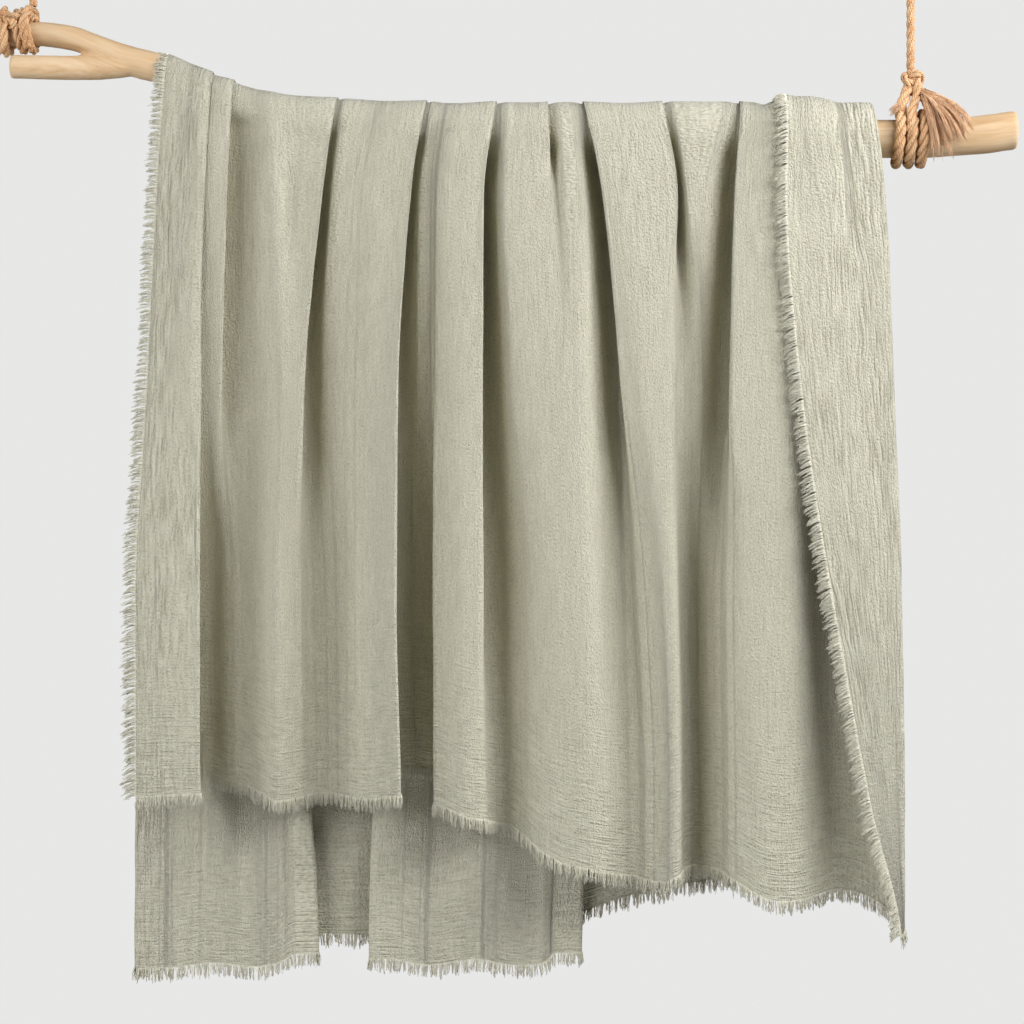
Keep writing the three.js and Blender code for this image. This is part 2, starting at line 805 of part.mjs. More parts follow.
function limb(stations, swell = 0) {
  const places = stations.map((p) => p.x);
  const centreAt = (x) => new THREE.Vector3(
    x,
    along(places, stations.map((p) => p.y ?? 0), x),
    along(places, stations.map((p) => p.z), x),
  );
  const last = (stations.length - 1) * ringsPerStation;
  const rings = Array.from({ length: last + 1 }, (_, k) => {
    const from = Math.min(Math.floor(k / ringsPerStation), stations.length - 2);
    const x = THREE.MathUtils.lerp(places[from], places[from + 1], k / ringsPerStation - from);
    const radius = along(places, stations.map((p) => p.r), x) + swell;
    const ahead = centreAt(x + slopeReach).sub(centreAt(x - slopeReach)).normalize();
    const upward = new THREE.Vector3(0, 0, 1).addScaledVector(ahead, -ahead.z).normalize();
    const sideways = ahead.clone().cross(upward);
    return Array.from({ length: branchSides }, (_, i) => {
      const turn = (i / branchSides) * 2 * Math.PI;
      return centreAt(x)
        .addScaledVector(upward, radius * Math.cos(turn))
        .addScaledVector(sideways, radius * Math.sin(turn));
    });
  });
  return loft(rings);
}

function branchGeometry() {
  return join([limb(stem), limb(lowerProng)]);
}

// Rope of three laid strands, straight up from one height to another

function ropeGeometry(x, from, to) {
  const count = Math.round((to - from) / ropeStep);
  const rings = Array.from({ length: count + 1 }, (_, k) => {
    const z = from + ((to - from) * k) / count;
    const turn = (2 * Math.PI * (z - from)) / ropeLay;
    return Array.from({ length: ropeSides }, (_, i) => {
      const angle = (2 * Math.PI * i) / ropeSides;
      const groove = (1 - Math.cos(3 * (angle - turn))) / 2;
      const radius = (ropeDiameter / 2) * (1 - strandGroove * groove);
      return new THREE.Vector3(x + radius * Math.cos(angle), radius * Math.sin(angle), z);
    });
  });
  return loft(rings);
}

// Turns of rope round a limb, side by side, as one sleeve that leans with the turns

function wrapsGeometry({ x, z, bore, turns, thick, lean }) {
  const profile = [new THREE.Vector2(bore, (-turns * thick) / 2)];
  for (let turn = 0; turn < turns; turn += 1) {
    const middle = (turn - (turns - 1) / 2) * thick;
    for (const degrees of wrapProfileAngles) {
      const angle = THREE.MathUtils.degToRad(degrees);
      const out = (thick / 2) * (1 + Math.cos(angle));
      profile.push(new THREE.Vector2(bore + out, middle + (thick / 2) * Math.sin(angle)));
    }
  }
  profile.push(new THREE.Vector2(bore, (turns * thick) / 2), profile[0].clone());
  const geometry = new THREE.LatheGeometry(profile, wrapSides);
  geometry.rotateZ(-Math.PI / 2);
  const position = geometry.attributes.position;
  for (let i = 0; i < position.count; i += 1) {
    position.setX(i, position.getX(i) + lean * position.getZ(i));
  }
  return geometry.translate(x, 0, z);
}

function lump({ x, y, z, halfX, halfY, halfZ }) {
  return new THREE.SphereGeometry(1, lumpMeridians, lumpParallels)
    .rotateX(Math.PI / 2)
    .scale(halfX, halfY, halfZ)
    .translate(x, y, z);
}

function bentRope(points, diameter) {
  const path = new THREE.CatmullRomCurve3(points.map((p) => new THREE.Vector3(...p)));
  const middle = new THREE.Vector2();
  const circle = new THREE.Shape(Array.from({ length: bentRopeSides }, (_, i) => {
    return new THREE.Vector2(0, diameter / 2).rotateAround(middle, (i * 2 * Math.PI) / bentRopeSides);
  }));
  const settings = { steps: bentRopeSteps, bevelEnabled: false, extrudePath: path };
  return new THREE.ExtrudeGeometry(circle, settings);
}

function hitchGeometry({ wraps, knots, legs }) {
  const rope = join([
    ...wraps.map(wrapsGeometry),
    ...knots.map(lump),
    ...legs.map((leg) => bentRope(leg, ropeDiameter)),
  ]);
  return cut(rope, limb(stem, seatGap));
}

// Eye at the top of a rope: a ring of rope standing on its own knot

function eyeGeometry(x) {
  const ring = new THREE.TorusGeometry(eyeRadius, ropeDiameter / 2, eyeRingSides, eyeRingSteps)
    .rotateX(Math.PI / 2)
    .translate(x, 0, eyeCentre);
  const knot = lump({ x, y: 0, z: ropeTopHeight + seatGap + eyeKnot.halfZ, ...eyeKnot });
  return join([ring, knot]);
}

// Frayed rope end: bent tapering locks that fan out of one head

function tasselGeometry({ head, locks, bend, radii, seed }) {
  const next = chance(seed);
  const pieces = [lump(head)];
  for (let k = 0; k < locks.count; k += 1) {
    const share = (k + 0.5) / locks.count;
    const across = THREE.MathUtils.lerp(locks.from, locks.to, share);
    const length = locks.length * (1 + locks.uneven * (next() - 0.5));
    const forward = -locks.ahead - locks.spread * next();
    const root = new THREE.Vector3(head.x, head.y, head.z);
    const out = new THREE.Vector3(Math.cos(across), 0, Math.sin(across));
    const middle = root.clone().addScaledVector(out, length * bend.middle);
    middle.y += forward * bend.middleAhead;
    const tip = root.clone().addScaledVector(out, length * bend.tip);
    tip.y += forward;
    tip.z -= length * bend.droop;
    pieces.push(lockGeometry([root, middle, tip], radii));
  }
  return join(pieces);
}

function lockGeometry(stations, radii) {
  const rings = stations.map((centre, k) => {
    const ahead = stations[Math.min(k + 1, stations.length - 1)].clone()
      .sub(stations[Math.max(k - 1, 0)]).normalize();
    const side = new THREE.Vector3(0, 1, 0).addScaledVector(ahead, -ahead.y).normalize();
    const rise = ahead.clone().cross(side);
    return [0, 1, 2].map((i) => centre.clone()
      .addScaledVector(side, radii[k] * Math.cos((2 * Math.PI * i) / 3))
      .addScaledVector(rise, radii[k] * Math.sin((2 * Math.PI * i) / 3)));
  });
  return loft(rings);
}

// Repeatable random numbers from 0 to 1

const chanceFactor = 1664525;
const chanceStep = 1013904223;
const chanceRange = 2 ** 32;

function chance(seed) {
  let state = seed;
  return () => {
    state = (state * chanceFactor + chanceStep) % chanceRange;
    return state / chanceRange;
  };
}

// Parts, their finish and the finished group

const linen = { color: 0xc4c1aa, roughness: 0.95, metalness: 0 };
const fringeYarn = { color: 0xcfcab2, roughness: 0.95, metalness: 0 };
const peeledWood = { color: 0xd9bb92, roughness: 0.7, metalness: 0 };
const jute = { color: 0xc1986f, roughness: 0.95, metalness: 0 };

const group = new THREE.Group();

function add(name, geometry, finish) {
  const mesh = new THREE.Mesh(geometry, new THREE.MeshStandardMaterial(finish));
  mesh.name = name;
  group.add(mesh);
}

add("blanket", blanketGeometry(), linen);
add("fringe_front", fringeGeometry(frontHem, hemFringe), fringeYarn);
add("fringe_back", fringeGeometry(backHem, { ...hemFringe, seed: 12 }), fringeYarn);
add("fringe_left", fringeGeometry(leftSide, sideFringe), fringeYarn);
add("fringe_right", fringeGeometry(rightSide, { ...sideFringe, seed: 14 }), fringeYarn);
add("branch", branchGeometry(), peeledWood);
add("right_rope_hitch", hitchGeometry(rightHitch), jute);
add("left_rope_hitch", hitchGeometry(leftHitch), jute);
add("right_rope_tassel", tasselGeometry(rightTassel), jute);
add("right_rope_riser", ropeGeometry(rightRopeX, rightRiserFoot, ropeTopHeight), jute);
add("left_rope_riser", ropeGeometry(leftRopeX, leftRiserFoot, ropeTopHeight), jute);
add("right_rope_eye", eyeGeometry(rightRopeX), jute);
add("left_rope_eye", eyeGeometry(leftRopeX), jute);

group.position.set(-rightRopeX, 0, -eyeBearing);

export default group;
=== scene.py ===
"""A crinkled linen throw with a fringe all round, over a forked branch that hangs on two jute ropes.

Places in the tables are in millimetres: x to the viewer's right and z up from the middle of the throw's
front, and y away from the viewer from the branch's centre line. placed() turns them into metres from the
place where the right rope's eye bears on its hook.
"""

import math

import bpy
import numpy as np
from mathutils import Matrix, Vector


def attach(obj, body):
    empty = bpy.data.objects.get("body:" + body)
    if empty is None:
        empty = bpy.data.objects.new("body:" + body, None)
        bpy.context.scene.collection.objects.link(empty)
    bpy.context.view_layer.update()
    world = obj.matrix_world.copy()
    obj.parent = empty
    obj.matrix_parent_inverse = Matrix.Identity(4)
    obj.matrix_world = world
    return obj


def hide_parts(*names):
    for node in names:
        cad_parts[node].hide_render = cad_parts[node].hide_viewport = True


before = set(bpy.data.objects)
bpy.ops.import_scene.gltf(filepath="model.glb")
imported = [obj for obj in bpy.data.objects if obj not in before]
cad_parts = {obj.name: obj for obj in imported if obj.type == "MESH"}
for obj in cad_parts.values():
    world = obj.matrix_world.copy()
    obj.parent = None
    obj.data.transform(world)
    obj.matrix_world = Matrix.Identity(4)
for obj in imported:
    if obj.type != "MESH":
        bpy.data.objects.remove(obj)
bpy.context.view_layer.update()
bpy.ops.object.select_all(action="DESELECT")

EYE = np.array([448.0, 0.0, 671.3])
FLOOR_DROP = 1750.0


def placed(points):
    """Places in the tables' millimetres as metres in the frame."""
    return (np.asarray(points, float) - EYE) / 1000


# Camera, level with the middle of the throw's front

CAMERA_PLACE = (-0.448, -3.527, -0.6713)
LENS = 110.35
SENSOR_WIDTH = 36
LEVEL = math.radians(90)

camera_data = bpy.data.cameras.new("studio_camera")
camera_data.sensor_width = SENSOR_WIDTH
camera_data.lens = LENS
camera = bpy.data.objects.new("studio_camera", camera_data)
camera.location = CAMERA_PLACE
camera.rotation_euler = (LEVEL, 0, 0)
bpy.context.scene.collection.objects.link(camera)
bpy.context.scene.camera = camera


# Meshes


def mesh_piece(name, points, faces, uv=None):
    """A piece from points in millimetres, faces and, for each point, its place in the piece's own map."""
    mesh = bpy.data.meshes.new(name)
    mesh.from_pydata(placed(points).tolist(), [], faces)
    if uv is not None:
        corners = np.empty(len(mesh.loops), int)
        mesh.loops.foreach_get("vertex_index", corners)
        layer = mesh.uv_layers.new(name="lay")
        layer.data.foreach_set("uv", np.asarray(uv, float)[corners].ravel())
    mesh.shade_smooth()
    piece = bpy.data.objects.new(name, mesh)
    bpy.context.scene.collection.objects.link(piece)
    return piece


def finish_piece(piece, material, slot, *nodes):
    """Give a piece its material, hold it still and let it stand for its CAD nodes. The slot is not used."""
    piece.data.materials.clear()
    piece.data.materials.append(material)
    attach(piece, "root")
    if nodes:
        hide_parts(*nodes)
    return piece


def unit(vectors):
    """Vectors with their lengths made one."""
    return vectors / np.maximum(np.linalg.norm(vectors, axis=-1, keepdims=True), 1e-9)


def soft_noise(u, v, seed):
    """Soft random relief from -1 to 1 with about one swell in each unit of u and v."""
    table = np.random.default_rng(seed).uniform(-1, 1, (256, 256))
    iu = np.floor(u).astype(int)
    iv = np.floor(v).astype(int)
    fu = u - iu
    fv = v - iv
    fu = fu * fu * (3 - 2 * fu)
    fv = fv * fv * (3 - 2 * fv)
    near = table[iu % 256, iv % 256] * (1 - fu) + table[(iu + 1) % 256, iv % 256] * fu
    far = table[iu % 256, (iv + 1) % 256] * (1 - fu) + table[(iu + 1) % 256, (iv + 1) % 256] * fu
    return near * (1 - fv) + far * fv


def along(places, values, at, start=None, leave=0.0):
    """Smooth curve through a row of values at rising places, which doesn't overshoot them.

    Where leave is given, it starts out of place number start with that many times the mean slope up to the
    next place.
    """
    places = np.asarray(places, float)
    values = np.asarray(values, float)
    at = np.clip(at, places[0], places[-1])
    k = np.clip(np.searchsorted(places, at) - 1, 0, len(places) - 2)
    span = np.diff(places)
    steep = np.diff(values) / span
    slope = np.zeros(len(places))
    for i in range(1, len(places) - 1):
        if steep[i - 1] * steep[i] > 0:
            slope[i] = 2 * steep[i - 1] * steep[i] / (steep[i - 1] + steep[i])
    t = (at - places[k]) / span[k]
    ease = t * t * (3 - 2 * t)
    leaving = np.where(k == start, leave * steep[k], slope[k]) if leave else slope[k]
    bend = t * (1 - t) * span[k] * ((1 - t) * leaving - t * slope[k + 1])
    return values[k] + (values[k + 1] - values[k]) * ease + bend


def run_along(path):
    """Distance along a path at each of its points."""
    return np.concatenate([[0], np.cumsum(np.linalg.norm(np.diff(path, axis=0), axis=1))])


CURVE_STEPS = 24


def resampled(path, step):
    """A smooth curve through the points of a path, with even steps."""
    path = np.asarray(path, float)
    ends = np.vstack([2 * path[0] - path[1], path, 2 * path[-1] - path[-2]])
    dense = []
    for a, b, c, d in zip(ends, ends[1:], ends[2:], ends[3:]):
        t = np.linspace(0, 1, CURVE_STEPS, endpoint=False)[:, None]
        curve = 2 * b + (c - a) * t + (2 * a - 5 * b + 4 * c - d) * t**2 + (3 * b - a - 3 * c + d) * t**3
        dense.append(0.5 * curve)
    dense = np.vstack([*dense, path[-1:]])
    run = run_along(dense)
    count = max(2, round(run[-1] / step) + 1)
    even = np.linspace(0, run[-1], count)
    return np.column_stack([np.interp(even, run, dense[:, i]) for i in range(3)])


def carried_frame(path):
    """Two directions square to a path and to each other, carried along it without twist."""
    ahead = unit(np.gradient(path, axis=0))
    start = np.array([0.0, 1.0, 0.0]) if abs(ahead[0][1]) < 0.9 else np.array([1.0, 0.0, 0.0])
    side = [unit(start - ahead[0] * np.dot(start, ahead[0]))]
    for direction in ahead[1:]:
        side.append(unit(side[-1] - direction * np.dot(side[-1], direction)))
    side = np.array(side)
    return side, np.cross(ahead, side)


def tube(path, radii, sides):
    """Points, faces and map of a round tube with closed ends along a path."""
    side, rise = carried_frame(path)
    radii = np.broadcast_to(radii, len(path))
    turn = np.arange(sides) * 2 * math.pi / sides
    ring = np.cos(turn)[None, :, None] * side[:, None] + np.sin(turn)[None, :, None] * rise[:, None]
    points = path[:, None] + ring * radii[:, None, None]
    run = run_along(path)
    uv = np.dstack(np.meshgrid(np.arange(sides) / sides, run)).reshape(-1, 2)
    faces = []
    for k in range(len(path) - 1):
        for i in range(sides):
            j = (i + 1) % sides
            a, b = k * sides + i, k * sides + j
            faces.append((a, b, b + sides, a + sides))
    last = (len(path) - 1) * sides
    faces.append(tuple(reversed(range(sides))))
    faces.append(tuple(range(last, last + sides)))
    return points.reshape(-1, 3), faces, uv


def gathered(parts):
    """Several sets of points, faces and map as one."""
    points, faces, uv = [], [], []
    start = 0
    for part_points, part_faces, part_uv in parts:
        points.append(part_points)
        uv.append(part_uv)
        faces.extend(tuple(i + start for i in face) for face in part_faces)
        start += len(part_points)
    return np.vstack(points), faces, np.vstack(uv)


# Jute rope: three strands laid round each other. One turn of the lay, a strand's radius and its offset are
# shares of the rope's diameter

ROPE_DIAMETER = 10.0
ROPE_STEP = 2.6
STRANDS = 3
LAY = 3.4
STRAND_RADIUS = 0.245
STRAND_OFFSET = 0.255
STRAND_SIDES = 9
FIBRE_SIDES = 3
FIBRE_TIP = 0.45


def laid_rope(path, diameter, turn=0.0, step=ROPE_STEP):
    """Strands that wind round a path."""
    path = resampled(path, step)
    side, rise = carried_frame(path)
    run = run_along(path)
    parts = []
    for k in range(STRANDS):
        angle = turn + 2 * math.pi * (run / (LAY * diameter) + k / STRANDS)
        off = np.cos(angle)[:, None] * side + np.sin(angle)[:, None] * rise
        parts.append(tube(path + STRAND_OFFSET * diameter * off, STRAND_RADIUS * diameter, STRAND_SIDES))
    return gathered(parts)


def fibres(roots, tips, bows, radius, seed, stations=6, wave=0.8):
    """Thin tapering fibres from roots to tips, each bowed by its own vector and a little wavy."""
    random = np.random.default_rng(seed)
    parts = []
    t = np.linspace(0, 1, stations)[:, None]
    for root, tip, bow in zip(roots, tips, bows):
        wobble = random.normal(0, wave, (2, 3))
        path = root + (tip - root) * t + bow * 4 * t * (1 - t)
        path = path + wobble[0] * np.sin(2 * math.pi * t) * t
        path = path + wobble[1] * np.sin(3 * math.pi * t) * t * 0.6
        size = radius * random.uniform(0.7, 1.3)
        parts.append(tube(path, size * np.linspace(1, FIBRE_TIP, stations), FIBRE_SIDES))
    return gathered(parts)


# Rises of the two ropes, from their knots to their eyes

RIGHT_ROPE_X = 448.0
LEFT_ROPE_X = -538.0
RIGHT_FOOT = 497.0
LEFT_FOOT = 568.0
ROPE_TOP = 632.0
RISE_POINTS = 16


def riser(name, x, foot, turn):
    """A rope's straight rise, and the path that it follows."""
    path = np.array([[x, 0, z] for z in np.linspace(foot, ROPE_TOP, RISE_POINTS)])
    points, faces, uv = laid_rope(path, ROPE_DIAMETER, turn)
    return mesh_piece(name, points, faces, uv), path


right_riser, right_riser_path = riser("right_rope_rise", RIGHT_ROPE_X, RIGHT_FOOT, 0.4)
left_riser, left_riser_path = riser("left_rope_rise", LEFT_ROPE_X, LEFT_FOOT, 1.9)


# Finishes


class Finish:
    """A material with its shader, and short ways to add the nodes of its colour and relief."""

    def __init__(self, name):
        self.material = bpy.data.materials.new(name)
        self.material.use_nodes = True
        self.tree = self.material.node_tree
        self.shader = next(n for n in self.tree.nodes if n.type == "BSDF_PRINCIPLED")

    def add(self, kind, inputs=(), **settings):
        """A node with its settings, and its inputs as numbers or as links from other nodes."""
        node = self.tree.nodes.new(kind)
        for key, value in settings.items():
            setattr(node, key, value)
        for key, value in dict(inputs).items():
            if isinstance(value, bpy.types.NodeSocket):
                self.tree.links.new(value, node.inputs[key])
            else:
                node.inputs[key].default_value = value
        return node

    def set(self, **values):
        """Values that are the same all over, on the shader's own sockets."""
        for key, value in values.items():
            self.shader.inputs[key.replace("_", " ")].default_value = value

    def math(self, operation, a, b=0.0, c=0.0):
        return self.add("ShaderNodeMath", {0: a, 1: b, 2: c}, operation=operation).outputs[0]

    def scaled(self, vector, x, y, z=1.0):
        return self.add("ShaderNodeVectorMath", {0: vector, 1: (x, y, z)}, operation="MULTIPLY").outputs[0]

    def moved(self, vector, other):
        return self.add("ShaderNodeVectorMath", {0: vector, 1: other}, operation="ADD").outputs[0]

    def noise(self, vector, scale=1.0, detail=2.0, roughness=0.5, colour=False, **settings):
        node = self.add(
            "ShaderNodeTexNoise",
            {"Vector": vector, "Scale": scale, "Detail": detail, "Roughness": roughness},
            **settings,
        )
        return node.outputs["Color" if colour else "Fac"]

    def flat_noise(self, lay, across, along, **settings):
        """Noise on a flat map, with so many swells in a metre across and along the cloth."""
        return self.noise(self.scaled(lay, across, along), noise_dimensions="2D", **settings)

    def swell(self, noise, height, onto, middle=0.5):
        """A noise, counted from its middle and so many high, laid onto another relief."""
        return self.math("MULTIPLY_ADD", self.math("SUBTRACT", noise, middle), height, onto)

    def ridges(self, noise, steepness=22.0):
        """Thin lines where a noise passes through its middle."""
        off = self.math("ABSOLUTE", self.math("SUBTRACT", noise, 0.5))
        return self.math("MAXIMUM", self.math("MULTIPLY_ADD", off, -steepness, 1.0), 0.0)

    def ramp(self, factor, *stops):
        """Colours between stops, each a place and a colour."""
        node = self.add("ShaderNodeValToRGB", {"Fac": factor})
        elements = node.color_ramp.elements
        while len(elements) < len(stops):
            elements.new(0.5)
        for element, (place, colour) in zip(elements, stops):
            element.position = place
            element.color = (*colour, 1)
        return node.outputs["Color"]

    def between(self, factor, low, high):
        """Zero at low, one at high."""
        node = self.add("ShaderNodeMapRange", {"Value": factor, "From Min": low, "From Max": high})
        return node.outputs["Result"]

    def mix(self, factor, a, b):
        """From colour a to colour b."""
        node = self.add("ShaderNodeMix", data_type="RGBA")
        for socket, value in ((node.inputs[0], factor), (node.inputs[6], a), (node.inputs[7], b)):
            if isinstance(value, bpy.types.NodeSocket):
                self.tree.links.new(value, socket)
            else:
                socket.default_value = value if isinstance(value, float) else (*value, 1)
        return node.outputs[2]

    def colour(self, socket):
        self.tree.links.new(socket, self.shader.inputs["Base Color"])

    def relief(self, height, depth, strength=1.0):
        bump = self.add("ShaderNodeBump", {"Height": height, "Distance": depth, "Strength": strength})
        self.tree.links.new(bump.outputs["Normal"], self.shader.inputs["Normal"])

    def own_map(self, name="lay"):
        return self.add("ShaderNodeUVMap", uv_map=name).outputs[0]

    def place(self):
        return self.add("ShaderNodeTexCoord").outputs["Object"]


# Colours of the finishes

# The linen's dark and light colours are painted shade in the hollows of its relief and painted light on its
# crests; the middle one is its own colour.
LINEN_PAINTED_CREST_LIGHT = (0.66, 0.63, 0.44)
LINEN_MIDDLE = (0.56, 0.53, 0.36)
LINEN_PAINTED_HOLLOW_SHADE = (0.42, 0.39, 0.25)
YARN_LIGHT = (0.76, 0.73, 0.54)
YARN_DARK = (0.56, 0.53, 0.365)
WOOD_LIGHT = (0.735, 0.545, 0.30)
WOOD_MIDDLE = (0.665, 0.455, 0.225)
WOOD_DARK = (0.56, 0.35, 0.15)
WOOD_CUT = (0.88, 0.80, 0.60)
JUTE_LIGHT = (0.88, 0.585, 0.305)
JUTE_MIDDLE = (0.72, 0.425, 0.19)
JUTE_DARK = (0.44, 0.215, 0.085)
FRAY_LIGHT = (0.99, 0.69, 0.39)
FRAY_DARK = (0.68, 0.36, 0.16)


# Gauze: how many swells each relief has in a metre across and along the cloth, how far the reliefs sway,
# and the depth of them all in metres

SWAY = (48, 26)
CRINKLES = (430, 26)
CREASES = (130, 6)
PEBBLE = (720, 400)
PATCHES = (26, 5)
RIBS = (40, 500)
WARP = (1300, 260)
WEFT = (260, 1300)
SWAY_REACH = (0.0042, 0.0012, 0.0)
GAUZE_DEPTH = 0.0013


def crinkled_linen():
    """Creases and crinkles that wander down the warp, a pebble of puckers, and ribs of weft at the hems,
    with painted shade in the relief's hollows and creases and painted light on its crests.
    """
    finish = Finish("crinkled_linen")
    weave = finish.own_map("weave")
    crinkle = finish.add("ShaderNodeVertexColor", layer_name="crinkle").outputs["Color"]
    share = finish.add("ShaderNodeSeparateColor", {"Color": crinkle})
    lively, ribbed = share.outputs["Red"], share.outputs["Green"]
    sway = finish.flat_noise(weave, *SWAY, detail=1.0, colour=True)
    swayed = finish.moved(weave, finish.scaled(sway, *SWAY_REACH))
    crinkles = finish.flat_noise(swayed, *CRINKLES, detail=1.0)
    creases = finish.ridges(finish.flat_noise(swayed, *CREASES, detail=0.0))
    pebble = finish.flat_noise(swayed, *PEBBLE, detail=1.0)
    patches = finish.math("MULTIPLY_ADD", finish.flat_noise(weave, *PATCHES, detail=1.0), 3.2, -0.9)
    patches = finish.math("MULTIPLY", lively, finish.math("MAXIMUM", patches, 0.15))
    ribs = finish.flat_noise(swayed, *RIBS, detail=1.0)
    warp = finish.flat_noise(weave, *WARP, detail=0.0)
    threads = finish.math("ADD", warp, finish.flat_noise(weave, *WEFT, detail=0.0))
    height = finish.swell(crinkles, finish.math("MULTIPLY_ADD", patches, 1.7, 0.7), 0.0)
    height = finish.swell(pebble, 1.5, height)
    height = finish.swell(ribs, finish.math("MULTIPLY", ribbed, 2.0), height)
    height = finish.swell(threads, 0.35, height, 1.0)
    height = finish.math("MULTIPLY_ADD", creases, finish.math("MULTIPLY_ADD", patches, -0.4, -0.03), height)
    finish.relief(height, GAUZE_DEPTH)
    # The colour follows the relief's height: painted shade darkens its hollows and creases, and painted
    # light brightens its crests.
    tone = finish.between(height, -0.75, 0.75)
    finish.colour(finish.ramp(tone, (0.0, LINEN_PAINTED_HOLLOW_SHADE), (0.5, LINEN_MIDDLE), (1.0, LINEN_PAINTED_CREST_LIGHT)))
    finish.set(Roughness=0.92, Specular_IOR_Level=0.18, Sheen_Weight=0.12, Sheen_Roughness=0.6)
    return finish.material


def loose_yarn():
    """Linen yarn, uneven from one yarn to the next and along each."""
    finish = Finish("loose_yarn")
    lay = finish.own_map()
    tone = finish.noise(finish.scaled(lay, 9, 0.35), detail=1.0)
    finish.colour(finish.ramp(tone, (0.3, YARN_DARK), (0.7, YARN_LIGHT)))
    finish.set(Roughness=0.9, Specular_IOR_Level=0.2)
    return finish.material


YARNS_IN_STRAND = 5
YARN_SLANT = 0.055


def jute():
    """Coarse yarns that run slantwise round each strand, with painted shade in the hollows between them."""
    finish = Finish("laid_jute")
    lay = finish.own_map()
    yarns = finish.add("ShaderNodeSeparateXYZ", {0: lay})
    slant = finish.math("MULTIPLY_ADD", yarns.outputs[1], YARN_SLANT, yarns.outputs[0])
    wave = finish.math("SINE", finish.math("MULTIPLY", slant, 2 * math.pi * YARNS_IN_STRAND))
    fine = finish.noise(finish.scaled(lay, 14, 0.5), detail=3.0, roughness=0.6)
    patch = finish.noise(finish.place(), scale=38.0, detail=2.0)
    height = finish.math("MULTIPLY_ADD", wave, 0.22, fine)
    finish.relief(height, 0.0011)
    # The colour follows the relief, so the hollows between the yarns carry painted shade; broad patches
    # vary the tone at random.
    tone = finish.math("MULTIPLY_ADD", wave, 0.06, finish.math("MULTIPLY", fine, 0.5))
    tone = finish.math("MULTIPLY_ADD", patch, 0.5, tone)
    finish.colour(finish.ramp(tone, (0.32, JUTE_DARK), (0.48, JUTE_MIDDLE), (0.66, JUTE_LIGHT)))
    finish.set(Roughness=0.88, Specular_IOR_Level=0.22)
    return finish.material


def frayed_jute():
    """Loose fibres of the rope's end, paler than the laid rope."""
    finish = Finish("frayed_jute")
    lay = finish.own_map()
    tone = finish.noise(finish.scaled(lay, 7, 0.25), detail=2.0)
    finish.relief(tone, 0.0003)
    finish.colour(finish.ramp(tone, (0.32, FRAY_DARK), (0.64, FRAY_LIGHT)))
    finish.set(Roughness=0.85, Specular_IOR_Level=0.25)
    return finish.material


def peeled_wood():
    """Pale sapwood with long soft grain that follows the branch, and cream where it was sawn."""
    finish = Finish("peeled_wood")
    grain = finish.add("ShaderNodeAttribute", attribute_name="grain").outputs["Vector"]
    bend = finish.noise(finish.scaled(grain, 9, 30, 30), detail=1.0, colour=True)
    bent = finish.moved(grain, finish.scaled(bend, 0.0, 0.012, 0.012))
    streaks = finish.noise(finish.scaled(bent, 14, 210, 210), detail=3.0, roughness=0.6)
    broad = finish.noise(finish.scaled(bent, 7, 46, 46), detail=2.0)
    tone = finish.math("MULTIPLY_ADD", streaks, 0.45, finish.math("MULTIPLY", broad, 0.55))
    colour = finish.ramp(tone, (0.34, WOOD_DARK), (0.47, WOOD_MIDDLE), (0.62, WOOD_LIGHT))
    facing = finish.add("ShaderNodeSeparateXYZ", {0: finish.add("ShaderNodeTexCoord").outputs["Normal"]})
    cut = finish.between(finish.math("ABSOLUTE", facing.outputs["X"]), 0.9, 0.98)
    finish.colour(finish.mix(cut, colour, WOOD_CUT))
    finish.relief(finish.math("MULTIPLY_ADD", broad, 1.0, finish.math("MULTIPLY", streaks, 0.4)), 0.0008)
    finish.set(Roughness=0.58, Specular_IOR_Level=0.35)
    return finish.material


linen = crinkled_linen()
yarn = loose_yarn()
jute_rope = jute()
loose_jute = frayed_jute()
wood = peeled_wood()


# Branch: x, y, z of the centre line and the radius, for its stem with the upper prong and its lower prong

STEM = np.array([
    (-615, 0, 534, 12.8), (-575, 0, 537, 13.2), (-533, 0, 537, 13.5), (-497, 0, 533, 14),
    (-468, 0, 523, 14.5), (-432, 0, 508, 17), (-393, 0, 497, 17.6), (-337, 0, 470, 18.3),
    (-273, 0, 449, 19), (-197, 0, 439, 20), (-96, 0, 433, 21), (40, 0, 430, 21.5),
    (170, 0, 430, 21.7), (257, 0, 428, 21.9), (330, 0, 424, 21.9), (400, 0, 419.5, 21.9),
    (448, 0, 419.5, 21.9), (502, 0, 421.5, 21.4), (535, 0, 424.5, 21.8), (567, 0, 428.5, 21.5),
])
LOWER_PRONG = np.array([
    (-560, -24, 496.6, 13.5), (-513, -15, 497, 13.6), (-476, -8, 498, 13.8), (-440, -3, 501, 13.6),
    (-412, 0, 504, 12),
])
SLOPE_REACH = 4.0


def branch_at(x):
    """Height of the stem's centre line, its radius and its upright half height."""
    z = along(STEM[:, 0], STEM[:, 2], x)
    rise = along(STEM[:, 0], STEM[:, 2], x + SLOPE_REACH) - along(STEM[:, 0], STEM[:, 2], x - SLOPE_REACH)
    r = along(STEM[:, 0], STEM[:, 3], x)
    return z, r, r * np.hypot(1, rise / (2 * SLOPE_REACH))


# Cloth. Heights of the stations down the back from its hem, over the crest of the branch and on down the
# front: back hem, back low, back high, crest, high, middle, low, hem, corner

STATIONS = [-510, -150, 200, None, 345, 125, -95, -325, -485]
CREST = 3

# Folds: the pitch of doubled layers, how far the first and last layer at the crest stand off the branch, a
# fold's shoulder and rolled edge, the room between its panels in which its lap opens into a wave, and the
# drop below which the cloth may come nearer than the branch's side, by so much for each millimetre

